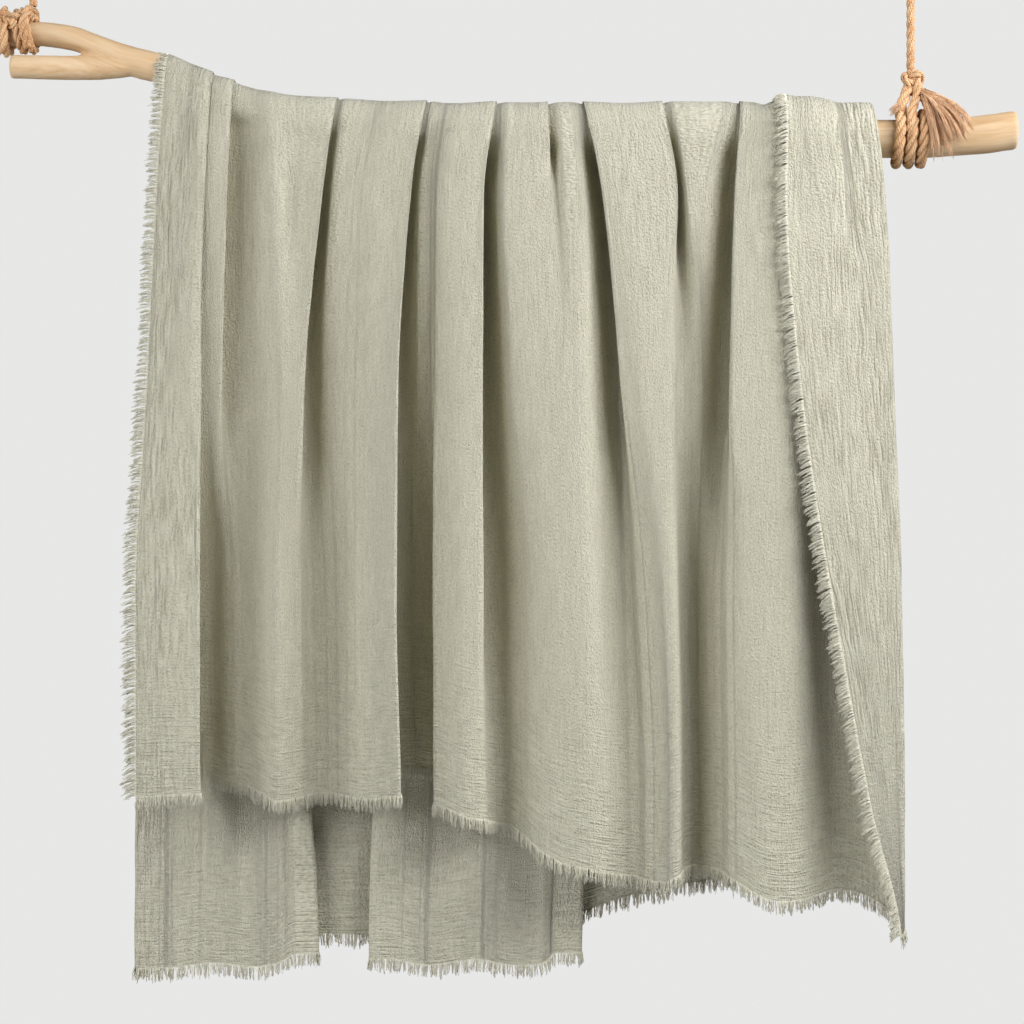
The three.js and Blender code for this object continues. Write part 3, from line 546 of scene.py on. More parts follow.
LAYER_PITCH = 1.6
INNER_LAYER = 1.7
OUTER_LAYER = 5.4
SHOULDER_DROP = 0.8
LEAST_SHOULDER = 2.5
LEAST_ROLL = 0.6
FREE_ROOM = 14.0
OPEN_LAP = 6.0
LAP_PER_ROOM = 20.0
ROLL_DEPTH = 500.0
CLEAR_DROP = 31.0
CLEAR_SLOPE = 1.1

# How steeply edges and depths leave the crest, how far the cloth's top rises off the branch from left to
# right, and the pinch that some folds have just under the crest

EDGE_LEAVE = 1.5
DEPTH_LEAVE = 2.3
CREST_LIFT = ([-340, -200, -60, 150, 250, 290, 305], [0, 1.6, 4, 4.6, 6.5, 6, 2])
LIFT_FADE = 50.0
NIP_DROP = 44.0
NIP_REACH = 30.0

# How far a corner is cut back into a bend: in open cloth, at the foot of a fold, and at a crease

SOFT_CUT = 40.0
SLOT_CUT = 12.0
TIGHT_CUT = 6.0


def pinched(crest, high, middle=SOFT_CUT, low=SOFT_CUT):
    """Cuts of a bend that is sharp from the crest down the front and soft elsewhere."""
    return [SOFT_CUT, SOFT_CUT, SOFT_CUT, crest, high, middle, low, SOFT_CUT, SOFT_CUT]


def ridge(name, x, d, front_hem, back_hem, cut=SOFT_CUT):
    """A single bend that runs down the cloth, at x and so far off the branch at each station."""
    return {"name": name, "x": x, "d": d, "hems": (front_hem, back_hem), "cut": cut}


def fold(name, over, roll, edge, lap, out, inner, front_hems, back_hems, nip=0):
    """A fold whose edge laps over the panel on one side.

    Each station has the place of the edge, the width of the lap, and how far the upper panel and the one
    under it stand off the branch. A hem has the heights of the upper panel and of the one under it.
    """
    return {
        "name": name, "over": over, "roll": roll, "edge": edge, "lap": lap, "out": out, "in": inner,
        "hems": (front_hems, back_hems), "nip": nip,
    }


# The cloth's section from its left edge to its right one: a row for each bend and fold, a value for each
# station

SECTION = [
    ridge("left edge", [-378, -394, -399, -386, -398, -408, -419, -418, -418],
          [36, 30, 11, 1.7, 3, 12, 20, 23, 23], -315, -505),
    ridge("edge turn over", [-428, -426, -401, -374, -388, -397, -405, -405, -405],
          [26, 20, 7, 1.8, 5, 14, 22, 25, 25], -316, -516, 5),
    ridge("edge turn under", [-428, -422, -391, -361, -376, -384, -391, -391, -391],
          [16, 10, 4, 1.9, 7.5, 17, 26, 29, 29], -314, -518, 5),
    fold("strip fold", "left", 3, [-396, -388, -364, -335, -343, -346, -346, -345, -345],
         [-10, -6, 8, 12, 9, 12, 14, 18, 18], [9, 8, 8.2, OUTER_LAYER, 15, 24, 34, 36, 36],
         [6, 4, 2, INNER_LAYER, 10, 6, -38, -43, -43], (-312, -295), (-516, -516)),
    fold("second fold", "left", 3, [-358, -352, -330, -311, -318, -323, -322, -322, -322],
         [-12, -10, 2, 7, 12, 3, -20, -20, -20], [9, 8, 6, OUTER_LAYER, 13, 9, -19, -22, -22],
         [6, 4, 2, INNER_LAYER, -18, -18, -13, -15, -15], (-300, -304), (-512, -510)),
    ridge("first hollow", [-326, -322, -305, -288, -294, -289, -288, -288, -288],
          [5, 4, 2, 1.4, -13, -18, -6, -6, -6], -310, -510),
    ridge("first ridge", [-302, -300, -280, -269, -266, -258, -264, -264, -264],
          [10, 8, 4, 4.6, 20, 23, 29, 29, 29], -321, -515, 12),
    ridge("gather dip", [-292, -290, -258, -254, -242, -249, -255, -255, -255],
          [9, 7, 4, 1.6, 6, 20, 23, 23, 23], -321, -515, pinched(20, 7, 30)),
    fold("third fold", "left", 4, [-282, -280, -228, -195, -211, -231, -236, -236, -236],
         [-8, -6, 8, 16, 9, 7, -8, -12, -12], [9, 7, 8, OUTER_LAYER, 20, 18, 8, 6, 6],
         [5, 3, 2, INNER_LAYER, -20, -34, -30, -28, -28], (-320, -315), (-514, -512)),
    ridge("sloping panel", [-258, -262, -192, -188, -203, -214, -200, -198, -198],
          [4, 3, 2, 4.4, 9, -13, -19, -18, -18], -315, -510, pinched(5, 4, 8, 30)),
    fold("rear box fold", "right", 4, [-240, -250, -166, -146, -160, -166, -168, -166, -166],
         [22, 10, -6, -6, -14, -14, -12, -12, -12], [32, 20, 3, 3.6, 15, 23, 25, 24, 24],
         [6, 4, 2, 3, 12, 7, -8, -8, -8], (-319, -318), (-480, -500)),
    fold("deep fold", "left", 3.4, [-140, -126, -102, -95, -113, -126, -127, -122, -122],
         [22, 22, 24, 18, 10, 11, 13, 15, 15], [32, 20, 9, OUTER_LAYER, 21, 34, 40, 40, 40],
         [6, 4, 2, INNER_LAYER, -24, -40, -44, -45, -45], (-314, -287), (-482, -506)),
    ridge("recess floor", [-118, -104, -84, -88, -105, -107, -107, -104, -104],
          [6, 4, 2, 4.4, 4, -13, -45, -46, -46], -286, -510, pinched(5, 4, 6, 30)),
    fold("recess right fold", "right", 3.2, [-92, -78, -66, -70, -84, -87, -88, -87, -87],
         [-10, -8, -6, -6, -2, 2, 14, 18, 18], [10, 8, 4, 2.8, 18, 15, 15, 16, 16],
         [7, 5, 2, 1.6, 5, -9, -43, -44, -44], (-325, -290), (-514, -512)),
    ridge("narrow panel", [-66, -54, -48, -55, -66, -64, -58, -56, -56],
          [10, 8, 4, 2, 21, 28, 35, 35, 35], -337, -509),
    fold("fourth fold", "left", 5, [-38, -26, -18, -17, -32, -32, -31, -29, -29],
         [-10, -6, 10, 12, 6, 7, 4, -7, -7], [9, 7, 8, OUTER_LAYER, 21, 28, 30, 27, 27],
         [5, 3, 2, INNER_LAYER, -32, -41, -43, -38, -38], (-341, -350), (-506, -508), 8),
    ridge("second hollow", [-12, 0, 4, -7, -12, -2, 4, 6, 6],
          [4, 4, 2, 4.6, 15, 12, -7, -12, -12], -354, -512, pinched(5, 6, 7)),
    ridge("wide panel", [8, 18, 22, 18, 8, 20, 27, 30, 30],
          [9, 7, 3, 4, 19, 22, 17, 12, 12], -378, -514),
    fold("small dart", "left", 3, [26, 36, 40, 40, 45, 48, 52, 56, 56],
         [-8, -6, 2, 6, -3, -8, -12, -12, -12], [9, 7, 5, OUTER_LAYER, 20, 24, 22, 17, 17],
         [6, 5, 2.4, INNER_LAYER, 11, 24, 24, 20, 20], (-391, -393), (-513, -511), 18),
    ridge("dart side", [34, 44, 49, 50, 57, 62, 68, 74, 74],
          [6, 5, 2, 4.6, 20.5, 24, 25, 21, 21], -394, -510, pinched(5, 6, 30)),
    ridge("panel before fifth fold", [44, 56, 60, 69, 80, 86, 92, 100, 100],
          [6, 5, 2, 4.6, 20, 24, 27, 24, 24], -401, -508, pinched(5, 8, 20)),
    fold("fifth fold", "right", 5, [58, 78, 84, 79, 101, 122, 143, 154, 154],
         [22, 21, 21, 14, 8, 4, -10, -16, -16], [30, 20, 9, OUTER_LAYER, 21, 22, 14, 10, 10],
         [6, 4, 2, INNER_LAYER, -26, -30, -18, -8, -8], (-412, -406), (-458, -499), 6),
    ridge("broad panel", [122, 130, 128, 128, 138, 148, 166, 174, 174],
          [26, 18, 6, 2, 22, 28, 30, 26, 26], -412, -437),
    fold("sixth fold", "left", 4, [172, 174, 170, 168, 185, 178, 186, 189, 189],
         [-10, -8, 4, 8, 4, -12, -3, -3, -3], [24, 17, 8, OUTER_LAYER, 21, 21, 25, 22, 22],
         [18, 10, 3, INNER_LAYER, -14, 0, -43, -45, -45], (-406, -400), (-428, -424)),
    ridge("broad hollow", [210, 212, 204, 177, 193, 206, 203, 206, 206],
          [12, 8, 2, 4.6, 17, 0, -39, -42, -42], -397, -418, pinched(5, 4)),
    ridge("panel between", [236, 234, 230, 242, 221, 226, 216, 219, 219],
          [12, 8, 3, 4.4, 19, -24, -26, -30, -30], -398, -416, pinched(5, 9, 30)),
    fold("seventh fold", "right", 4, [260, 256, 254, 255, 246, 241, 241, 244, 244],
         [12, 14, 18, 12, 8, 6, -9, -10, -10], [24, 17, 9, OUTER_LAYER, 26, 31, 26, 20, 20],
         [6, 4, 2, INNER_LAYER, -20, -34, -6, -10, -10], (-410, -398), (-408, -414), 2),
    ridge("bright panel", [304, 300, 292, 274, 272, 276, 272, 274, 274],
          [20, 15, 6, 5, 27, 32, 28, 28, 28], -430, -406),
    ridge("small gather", [311, 308, 300, 281, 283, 290, 292, 292, 292],
          [16, 12, 6, 1.6, 25, 32, 30, 29, 29], -432, -405, pinched(4, 30)),
    ridge("first hidden gather", [322, 318, 310, 299, 306, 314, 318, 318, 318],
          [13, 10, 8, 13, 27, 33, 30, 27, 27], -433, -405),
    ridge("hidden hollow", [346, 342, 334, 328, 334, 340, 347, 352, 354],
          [9, 7, 3, 2, 6, 2, -12, -20, -16], -424, -404),
    ridge("second hidden gather", [372, 368, 358, 352, 360, 366, 368, 374, 374],
          [12, 9, 7, 10, 8, 0, -8, -18, -12], -420, -404),
    ridge("panel under the flap", [400, 396, 384, 376, 388, 398, 404, 408, 410],
          [10, 8, 5, 2, 8, 8, 4, 2, 6], -432, -404),
    ridge("right turn under", [428, 422, 412, 404, 415, 424, 432, 436, 436.5],
          [14, 11, 8, 7, 16, 18, 17, 16, 18], -458, -405, 6),
    ridge("right turn over", [428, 422, 412, 404, 415, 424, 432, 436, 436.5],
          [28, 24, 20, 17, 28, 32, 31, 28, 23], -464, -406, 6),
    ridge("flap crease", [388, 378, 368, 364, 374, 384, 398, 418, 434],
          [31, 27, 23, 14.5, 26, 34, 36, 32, 25], -467, -408, pinched(5, 6)),
    ridge("flap fullness", [360, 348, 340, 342, 350, 358, 382, 410, 433],
          [29, 26, 22, 21, 33, 38, 39, 35, 26], -469, -409),
    ridge("flap edge crease", [348, 332, 322, 320, 321, 337, 366, 402, 432],
          [30.5, 27, 22.5, 18, 28, 38, 40, 36.5, 27], -470, -409.5, pinched(8, 10)),
    ridge("right edge", [338, 320, 310, 306, 304, 321, 354, 396, 431],
          [32, 28, 23, 20, 31, 38, 41, 38, 28], -470, -410),
]

# Rows down the back fall, the front fall and each side of the crest's arc, and the step between columns

BACK_ROWS = 74
FRONT_ROWS = 128
ARC_ROWS = 6
COLUMN_STEP = 2.75
CORNERS_IN_FOLD = 6


def corners_of(row, drop):
    """Corner points of a fold or ridge: across, off the branch, and how far each corner is cut."""

    def at(values, leave=DEPTH_LEAVE):
        return along(row["places"], values, drop, CREST, leave)

    closest = INNER_LAYER - np.maximum(0, np.abs(drop) - CLEAR_DROP) * CLEAR_SLOPE
    if "over" not in row:
        cut = at(np.broadcast_to(row["cut"], len(STATIONS)), 0)
        return [(at(row["x"], EDGE_LEAVE), np.maximum(at(row["d"]), closest), cut)]
    nip = row["nip"] * np.exp(-(((drop - NIP_DROP) / NIP_REACH) ** 2))
    inner = np.maximum(at(row["in"]) - nip, closest)
    out = np.maximum(at(row["out"]), closest)
    grown = np.minimum(1, np.abs(drop) / ROLL_DEPTH)
    roll = LAYER_PITCH / 2 + (row["roll"] - LAYER_PITCH / 2) * grown
    roll = np.maximum(np.minimum(roll, (out - inner) / 4), LEAST_ROLL)
    room = (out - inner - 2 * LAYER_PITCH) * LAP_PER_ROOM
    lap = np.minimum(at(row["lap"], 0), np.maximum(room, -OPEN_LAP))
    edge = at(row["edge"], EDGE_LEAVE)
    tuck = edge - lap if row["over"] == "left" else edge + lap
    shoulder = np.maximum(3 * roll, LEAST_SHOULDER)
    hold = np.maximum(lap, 0) * (1 - np.clip((out - inner - FREE_ROOM) / FREE_ROOM, 0, 1))
    share = np.clip((-lap + OPEN_LAP) / (2 * OPEN_LAP), 0, 1)
    opened = share * share * (3 - 2 * share) / 3
    wall = 2 * roll + ((out - inner) / 3 - 2 * roll) * 3 * opened
    bend = roll + (SOFT_CUT - roll) * 3 * opened
    upper = [(edge, out, bend), (edge + opened * (tuck - edge), out - wall, bend)]
    under = [(tuck + opened * (edge - tuck), inner + wall, bend), (tuck, inner, bend)]
    soft = np.full(len(drop), SOFT_CUT)
    slot = SLOT_CUT + (SOFT_CUT - SLOT_CUT) * 3 * opened
    if row["over"] == "left":
        outside = (edge - hold - shoulder, out - SHOULDER_DROP, soft)
        inside = (np.maximum(edge, tuck) + shoulder, inner + SHOULDER_DROP, slot)
        return [outside, *upper, *under, inside]
    outside = (edge + hold + shoulder, out - SHOULDER_DROP, soft)
    inside = (np.minimum(edge, tuck) - shoulder, inner + SHOULDER_DROP, slot)
    return [inside, *under[::-1], *upper[::-1], outside]


def hem_height(row, hem, index):
    """Height of a hem at one corner of a row."""
    if "over" not in row:
        return hem
    upper = (index < CORNERS_IN_FOLD // 2) == (row["over"] == "left")
    return hem[0] if upper else hem[1]


def cloth_corners():
    """Corner points of the whole section at every row of the cloth, from the back hem to the front one."""
    back = np.linspace(1, 0, BACK_ROWS, endpoint=False)
    arc = np.linspace(0, 90, ARC_ROWS, endpoint=False)
    front = np.linspace(0, 1, FRONT_ROWS + 1)[1:]
    side = np.array([1.0] * (BACK_ROWS + ARC_ROWS) + [-1.0] * (ARC_ROWS + 1 + FRONT_ROWS))
    angle = np.radians(np.concatenate([back * 0, arc, [90], arc[::-1], front * 0]))
    fall = np.concatenate([back, arc * 0, [0], arc * 0, front])
    straight = fall > 0
    points, cuts = [], []
    for row in SECTION:
        folded = "over" in row
        axis, _, upright = branch_at(np.array([float((row["edge"] if folded else row["x"])[CREST])]))
        top = axis[0] + upright[0]
        row["places"] = [
            0 if k == CREST else math.copysign(1, k - CREST) * (top - z) for k, z in enumerate(STATIONS)
        ]
        for index in range(CORNERS_IN_FOLD if folded else 1):
            front_hem, back_hem = [hem_height(row, hem, index) for hem in row["hems"]]
            height = axis[0] - fall * (axis[0] - np.where(side < 0, front_hem, back_hem))
            drop = np.where(straight, top - height, upright[0] * (1 - np.sin(angle)))
            x, d, cut = corners_of(row, -side * drop)[index]
            z, r, upright_here = branch_at(x)
            d = d + np.interp(x, *CREST_LIFT) * np.exp(-((drop / LIFT_FADE) ** 2))
            y = side * (r + d) * np.where(straight, 1, np.cos(angle))
            z = np.where(straight, height, z + (upright_here + d) * np.sin(angle))
            points.append(np.column_stack([x, y, z]))
            cuts.append(cut)
    return np.array(points).transpose(1, 0, 2), np.array(cuts).T


SOFTENING_ROUNDS = 26
BEND_LENGTH = 0.9


def softened(grid, softness):
    """The section with its panels eased into one another and its folded edges kept."""
    share = 0.5 * np.minimum(softness[:, 1:-1], np.minimum(softness[:, 2:], softness[:, :-2]))[..., None]
    for _ in range(SOFTENING_ROUNDS):
        middle = (grid[:, 2:] + grid[:, :-2]) / 2
        grid[:, 1:-1] += share * (middle - grid[:, 1:-1])
    return grid


def rounded(points, cuts):
    """The section's corners as smooth bends, with columns that keep their place in the cloth."""
    arms = np.linalg.norm(np.diff(points, axis=1), axis=2)
    ease = np.clip((cuts - TIGHT_CUT) / (SOFT_CUT - TIGHT_CUT), 0, 1)
    columns = [points[:, 0]]
    softness = [ease[:, 0]]
    last = points.shape[1] - 1
    previous = points[:, 0]
    for k in range(1, last):
        corner = points[:, k]
        reach_back = np.minimum(cuts[:, k], arms[:, k - 1] / 2)[:, None]
        reach_on = np.minimum(cuts[:, k], arms[:, k] / 2)[:, None]
        before = corner + unit(points[:, k - 1] - corner) * reach_back
        after = corner + unit(points[:, k + 1] - corner) * reach_on
        count = round(np.linalg.norm(before - previous, axis=1).mean() / COLUMN_STEP)
        for i in range(1, count):
            columns.append(previous + (before - previous) * i / count)
            softness.append(ease[:, k - 1] + (ease[:, k] - ease[:, k - 1]) * i / count)
        bend = np.linalg.norm(before - corner, axis=1).mean()
        bend = bend + np.linalg.norm(after - corner, axis=1).mean()
        count = max(2, round(BEND_LENGTH * bend / COLUMN_STEP))
        for i in range(count):
            t = i / count
            columns.append((1 - t) ** 2 * before + 2 * t * (1 - t) * corner + t * t * after)
            softness.append(ease[:, k])
        previous = after
    count = max(2, round(np.linalg.norm(points[:, last] - previous, axis=1).mean() / COLUMN_STEP))
    for i in range(count + 1):
        columns.append(previous + (points[:, last] - previous) * i / count)
        softness.append(ease[:, last])
    return softened(np.array(columns).transpose(1, 0, 2), np.array(softness).T)


def cloth_normals(grid):
    """Directions square to the cloth at its grid's points."""
    down = np.gradient(grid, axis=0)
    across = np.gradient(grid, axis=1)
    return unit(np.cross(down, across))


def cloth_grid():
    """The cloth's points, and the places of its columns and rows on the flat weave."""
    grid = rounded(*cloth_corners())
    across = np.linalg.norm(np.diff(grid, axis=1), axis=2).mean(axis=0)
    down = np.linalg.norm(np.diff(grid, axis=0), axis=2).mean(axis=1)
    u = np.concatenate([[0], np.cumsum(across)])
    v = np.concatenate([[0], np.cumsum(down)])
    return grid, u, v


grid, weave_u, weave_v = cloth_grid()
cloth_rows, cloth_columns = grid.shape[:2]
across, down = np.meshgrid(weave_u, weave_v)
from_crest = np.abs(down - weave_v[BACK_ROWS + ARC_ROWS])

# Where the weave is lively: in the folded left edge, in the turned flap and a little near the crest

LEFT_STRIP = 70.0
RIGHT_FLAP = 150.0
SHARE_FADE = 40.0

strip = np.clip(1 - (across - LEFT_STRIP) / SHARE_FADE, 0, 1)
flap = np.clip((across - (weave_u[-1] - RIGHT_FLAP)) / SHARE_FADE, 0, 1)
high = 0.3 * np.clip(1.2 - from_crest / 330, 0, 1)
lively = np.maximum(np.maximum(strip, flap), high)

# Broad, middling and crinkle-sized unevenness of the cloth, which settles on the branch

settled = np.clip(0.12 + from_crest / 160, 0, 1)
relief = 0.9 * soft_noise(across / 52, down / 240, 3) + 0.45 * soft_noise(across / 24, down / 110, 4)
wander = 0.6 * soft_noise(across / 30, down / 40, 6)
relief += (0.22 + 0.3 * lively) * soft_noise(across / 8.5 + wander, down / 42, 5)
grid = grid + cloth_normals(grid) * (relief * settled)[..., None]

faces = []
for r in range(cloth_rows - 1):
    start = r * cloth_columns
    for c in range(cloth_columns - 1):
        a = start + c
        faces.append((a, a + cloth_columns, a + cloth_columns + 1, a + 1))
throw = mesh_piece("throw", grid.reshape(-1, 3), faces)
corners = np.empty(len(throw.data.loops), int)
throw.data.loops.foreach_get("vertex_index", corners)
weave_map = throw.data.uv_layers.new(name="weave")
weave_map.data.foreach_set("uv", (np.dstack([across, down]).reshape(-1, 2)[corners] / 1000).ravel())

# The weft's ribs show towards both hems

RIBBED_REACH = 260.0

ribbed = np.clip(1 - np.minimum(weave_v[-1] - down, down) / RIBBED_REACH, 0, 1)
crinkle = throw.data.color_attributes.new("crinkle", "FLOAT_COLOR", "POINT")
crinkle.data.foreach_set(
    "color", np.dstack([lively, ribbed, lively * 0, lively * 0 + 1]).astype(np.float32).ravel()
)
finish_piece(throw, linen, "linen_gauze", "blanket")

# Fringe

TUFT_WIDTHS = (1.2, 3.6)
YARN_RADIUS = 0.44
HEM_PITCH = 0.36
SIDE_PITCH = 0.30


def fringe(name, edge, inside, normals, pitch, length, droop, seed, node):
    """Loose yarns along one edge of the cloth, whose tips draw together into small uneven tufts."""
    random = np.random.default_rng(seed)
    run = run_along(edge)
    count = int(run[-1] / pitch)
    places = np.sort(random.uniform(0, run[-1], count))
    partings = np.cumsum(random.uniform(*TUFT_WIDTHS, int(run[-1] / TUFT_WIDTHS[0])))
    tuft = np.searchsorted(partings, places)
    middle = (partings[tuft] + np.concatenate([[0], partings])[tuft]) / 2
    tufts = len(partings) + 1
    tuft_size = random.normal(1, 0.13, tufts)[tuft]
    tuft_sway = random.normal(0, 1.5, tufts)[tuft]
    tuft_lean = random.normal(0, 1.1, tufts)[tuft]
    tuft_pull = random.uniform(0.5, 0.9, tufts)[tuft]

    def on_edge(values, at):
        return np.column_stack([np.interp(at, run, values[:, i]) for i in range(3)])

    roots = on_edge(edge, places)
    out = unit(on_edge(unit(edge - inside), places))
    normal = unit(on_edge(normals, places))
    ahead = unit(on_edge(np.gradient(edge, axis=0), places))
    gather = on_edge(edge, np.clip(middle, 0, run[-1])) - roots
    size = length * tuft_size * random.uniform(0.84, 1.08, count)
    lean = tuft_lean + random.normal(0, 0.5, count)
    sway = 0.8 * tuft_sway + random.normal(0, 0.35, count)
    tips = roots + out * size[:, None] + gather * tuft_pull[:, None]
    tips = tips + normal * sway[:, None] + ahead * lean[:, None]
    tips[:, 2] -= droop * size / length
    bows = normal * random.normal(0, 0.8, count)[:, None] + np.array([0, 0, 0.15 * droop])
    roots = roots - out * 0.8 + normal * random.uniform(-0.35, 0.35, count)[:, None]
    yarns = fibres(roots, tips, bows, YARN_RADIUS, seed + 2, 5, 0.9)
    return finish_piece(mesh_piece(name, *yarns), yarn, "fringe_yarn", node)


# Each fringe's edge of the cloth, the line next to it, pitch of yarns, length, droop of the tips and seed

normals = cloth_normals(grid)
fringes = [
    fringe("front_fringe", grid[-1], grid[-2], normals[-1], HEM_PITCH, 13.5, 0, 21, "fringe_front"),
    fringe("back_fringe", grid[0], grid[1], normals[0], HEM_PITCH, 13.5, 0, 31, "fringe_back"),
    fringe("left_fringe", grid[:, 0], grid[:, 1], normals[:, 0], SIDE_PITCH, 14.0, 7, 41, "fringe_left"),
    fringe(
        "right_fringe", grid[:, -1], grid[:, -2], normals[:, -1], SIDE_PITCH, 12.5, 7, 51, "fringe_right"
    ),
]


# Branch: two limbs drawn out ring by ring, joined under one skin and sanded smooth

LIMB_SIDES = 28
RING_STEP = 9.0
SKIN_VOXEL = 0.0026
SANDING_ROUNDS = 6


def limb(name, stations):
    """A peeled limb drawn out ring by ring from a disc at its sawn end."""
    first = placed(stations[0][:3])
    bpy.ops.mesh.primitive_circle_add(
        vertices=LIMB_SIDES, radius=stations[0][3] / 1000, fill_type="NGON", location=first,
        rotation=(0, math.radians(-90), 0),
    )
    piece = bpy.context.object
    piece.name = name
    bpy.ops.object.transform_apply(location=True, rotation=True, scale=True)
    bpy.ops.object.mode_set(mode="EDIT")
    bpy.ops.mesh.select_all(action="SELECT")
    for before, now in zip(stations, stations[1:]):
        step = (placed(now[:3]) - placed(before[:3])).tolist()
        bpy.ops.mesh.extrude_region_move(TRANSFORM_OT_translate={"value": step})
        grow = now[3] / before[3]
        bpy.ops.transform.resize(value=(1, grow, grow), center_override=placed(now[:3]).tolist())
    bpy.ops.mesh.select_all(action="SELECT")
    bpy.ops.mesh.normals_make_consistent(inside=False)
    bpy.ops.object.mode_set(mode="OBJECT")
    return piece


def stations_between(table):
    """Stations close enough to each other for smooth rings."""
    x = np.linspace(table[0, 0], table[-1, 0], round((table[-1, 0] - table[0, 0]) / RING_STEP) + 1)
    return np.column_stack([x, *[along(table[:, 0], table[:, i], x) for i in (1, 2, 3)]])


stem = limb("branch_stem", stations_between(STEM))
prong = limb("branch_prong", stations_between(LOWER_PRONG))
bpy.ops.object.select_all(action="DESELECT")
stem.select_set(True)
prong.select_set(True)
bpy.context.view_layer.objects.active = stem
bpy.ops.object.join()
skin = stem.modifiers.new("skin", "REMESH")
skin.mode = "VOXEL"
skin.voxel_size = SKIN_VOXEL
bpy.ops.object.modifier_apply(modifier="skin")
sanded = stem.modifiers.new("sanded", "SMOOTH")
sanded.factor = 0.5
sanded.iterations = SANDING_ROUNDS
bpy.ops.object.modifier_apply(modifier="sanded")
stem.name = "forked_branch"

# The wood swells a little where the cloth doesn't lie on it, and its grain follows the centre line

CLOTH_MIDDLE = 5.0
CLOTH_HALF = 375.0
CLOTH_FADE = 30.0

wood_points = np.empty(len(stem.data.vertices) * 3)
stem.data.vertices.foreach_get("co", wood_points)
wood_points = wood_points.reshape(-1, 3) * 1000 + EYE
axis_z, _, _ = branch_at(wood_points[:, 0])
offset = np.column_stack([wood_points[:, 1], wood_points[:, 2] - axis_z])
around = np.arctan2(offset[:, 0], offset[:, 1])
swell = 0.8 * soft_noise(wood_points[:, 0] / 55 + 100, around * 1.2 + 40, 61)
swell += 0.3 * soft_noise(wood_points[:, 0] / 16 + 100, around * 3 + 40, 62)
bare = np.clip((np.abs(wood_points[:, 0] - CLOTH_MIDDLE) - CLOTH_HALF) / CLOTH_FADE, 0, 1)
direction = unit(np.column_stack([offset[:, 0] * 0, offset]))
wood_points += direction * (swell * bare)[:, None]
stem.data.vertices.foreach_set("co", placed(wood_points).ravel())
grain = stem.data.attributes.new("grain", "FLOAT_VECTOR", "POINT")
grain.data.foreach_set(
    "vector", (np.column_stack([wood_points[:, 0], offset]) / 1000).astype(np.float32).ravel()
)
stem.data.shade_smooth()
finish_piece(stem, wood, "peeled_wood", "branch")

# Ropes: height and radius of the branch under each lashing

BRANCH_AT_RIGHT = (419.5, 21.9)
BRANCH_AT_LEFT = (537.0, 12.9)
QUARTER = math.pi / 2
ROUND = 2 * math.pi
WINDING_STEP = math.radians(15)
KNOT_POINTS = 40


def turns_round(x, axis, radius, pitch, start, end, lean=0.0):
    """A winding round the branch: angles are from the front, upwards, and a turn moves on by the pitch."""
    angle = np.linspace(start, end, int(abs(end - start) / WINDING_STEP))
    advance = (start - angle) / ROUND * pitch
    return np.column_stack([
        x + advance + lean * radius * np.sin(angle),
        -radius * np.cos(angle),
        axis + radius * np.sin(angle),
    ])


def knot_path(centre, half, turn=0.0):
    """An overhand knot's closed run, fitted into half sizes along x, y and z."""
    t = np.linspace(0, ROUND, KNOT_POINTS) + turn
    x = np.sin(t) + 2 * np.sin(2 * t)
    y = np.sin(3 * t)
    z = np.cos(t) - 2 * np.cos(2 * t)
    return np.asarray(centre) + np.column_stack([x / 3, y, z / 3]) * np.asarray(half)


right_start = QUARTER * 0.75
right_winding = turns_round(
    430.5, BRANCH_AT_RIGHT[0], BRANCH_AT_RIGHT[1] + 6.0, 13.6, right_start, right_start - 3 * ROUND, 0.18
)
right_turns = np.vstack([
    [[447, -3, 486], [443, -7, 472], [437, -12, 457]],
    right_winding,
    [[466, -8, 458], [459, -3, 472]],
])
right_leg = [
    [452, -4, 492], [455, -8, 476], [452, -13, 461], [447, -18, 449], [446, -24, 437], [444, -27, 424],
]
right_root = [[449, -3, 481], [448.4, -1, 489], [448, 0, 497.4]]
right_hitch = mesh_piece("right_rope_turns", *gathered([
    laid_rope(right_turns, 13.0, 0.3),
    laid_rope(right_leg, 11.5, 1.1),
    laid_rope(right_root, 9.8, -2.7),
]))
right_knot = mesh_piece(
    "right_rope_knot", *laid_rope(knot_path((450, -3, 483), (10.5, 7.5, 11.5), 0.5), 9.4)
)

left_winding = turns_round(
    -588, BRANCH_AT_LEFT[0], BRANCH_AT_LEFT[1] + 7.0, 14.5, QUARTER * 1.1, QUARTER * 1.1 - 2 * ROUND, 0.1
)
left_second = turns_round(
    -556, BRANCH_AT_LEFT[0], BRANCH_AT_LEFT[1] + 5.4, 11, QUARTER * 0.9, QUARTER * 0.9 - 2 * ROUND, -0.1
)
left_tail = [[-541, -4, 566], [-545, -14, 556], [-546, -22, 543], [-543, -25, 530], [-539, -25, 518]]
left_hitch = mesh_piece("left_rope_turns", *gathered([
    laid_rope(np.vstack([[[-566, -14, 560]], left_winding, [[-560, 4, 562]]]), 13.5, 0.3),
    laid_rope(np.vstack([[[-548, -8, 562]], left_second, [[-542, 2, 560]]]), 10.5, 0.9),
    laid_rope(left_tail, 11.0, 0.2),
]))
left_knot = mesh_piece("left_rope_knot", *gathered([
    laid_rope(knot_path((-542, -3, 558), (8, 6, 6.5), 0.5), 8.0),
    laid_rope(knot_path((-560, -16, 550), (8, 5, 7), 2.0), 8.5),
]))

for piece, node in (
    (right_hitch, "right_rope_hitch"),
    (right_knot, "right_rope_hitch"),
    (left_hitch, "left_rope_hitch"),
    (left_knot, "left_rope_hitch"),
):
    finish_piece(piece, jute_rope, "jute", node)

# Eyes: a ring of rope on a neck that is whipped with thin twine

EYE_CENTRE = 662.3
EYE_RADIUS = 14.0
EYE_POINTS = 40
TWINE = 2.5
TWINE_TURNS = 6
NECK_RADIUS = 6.6


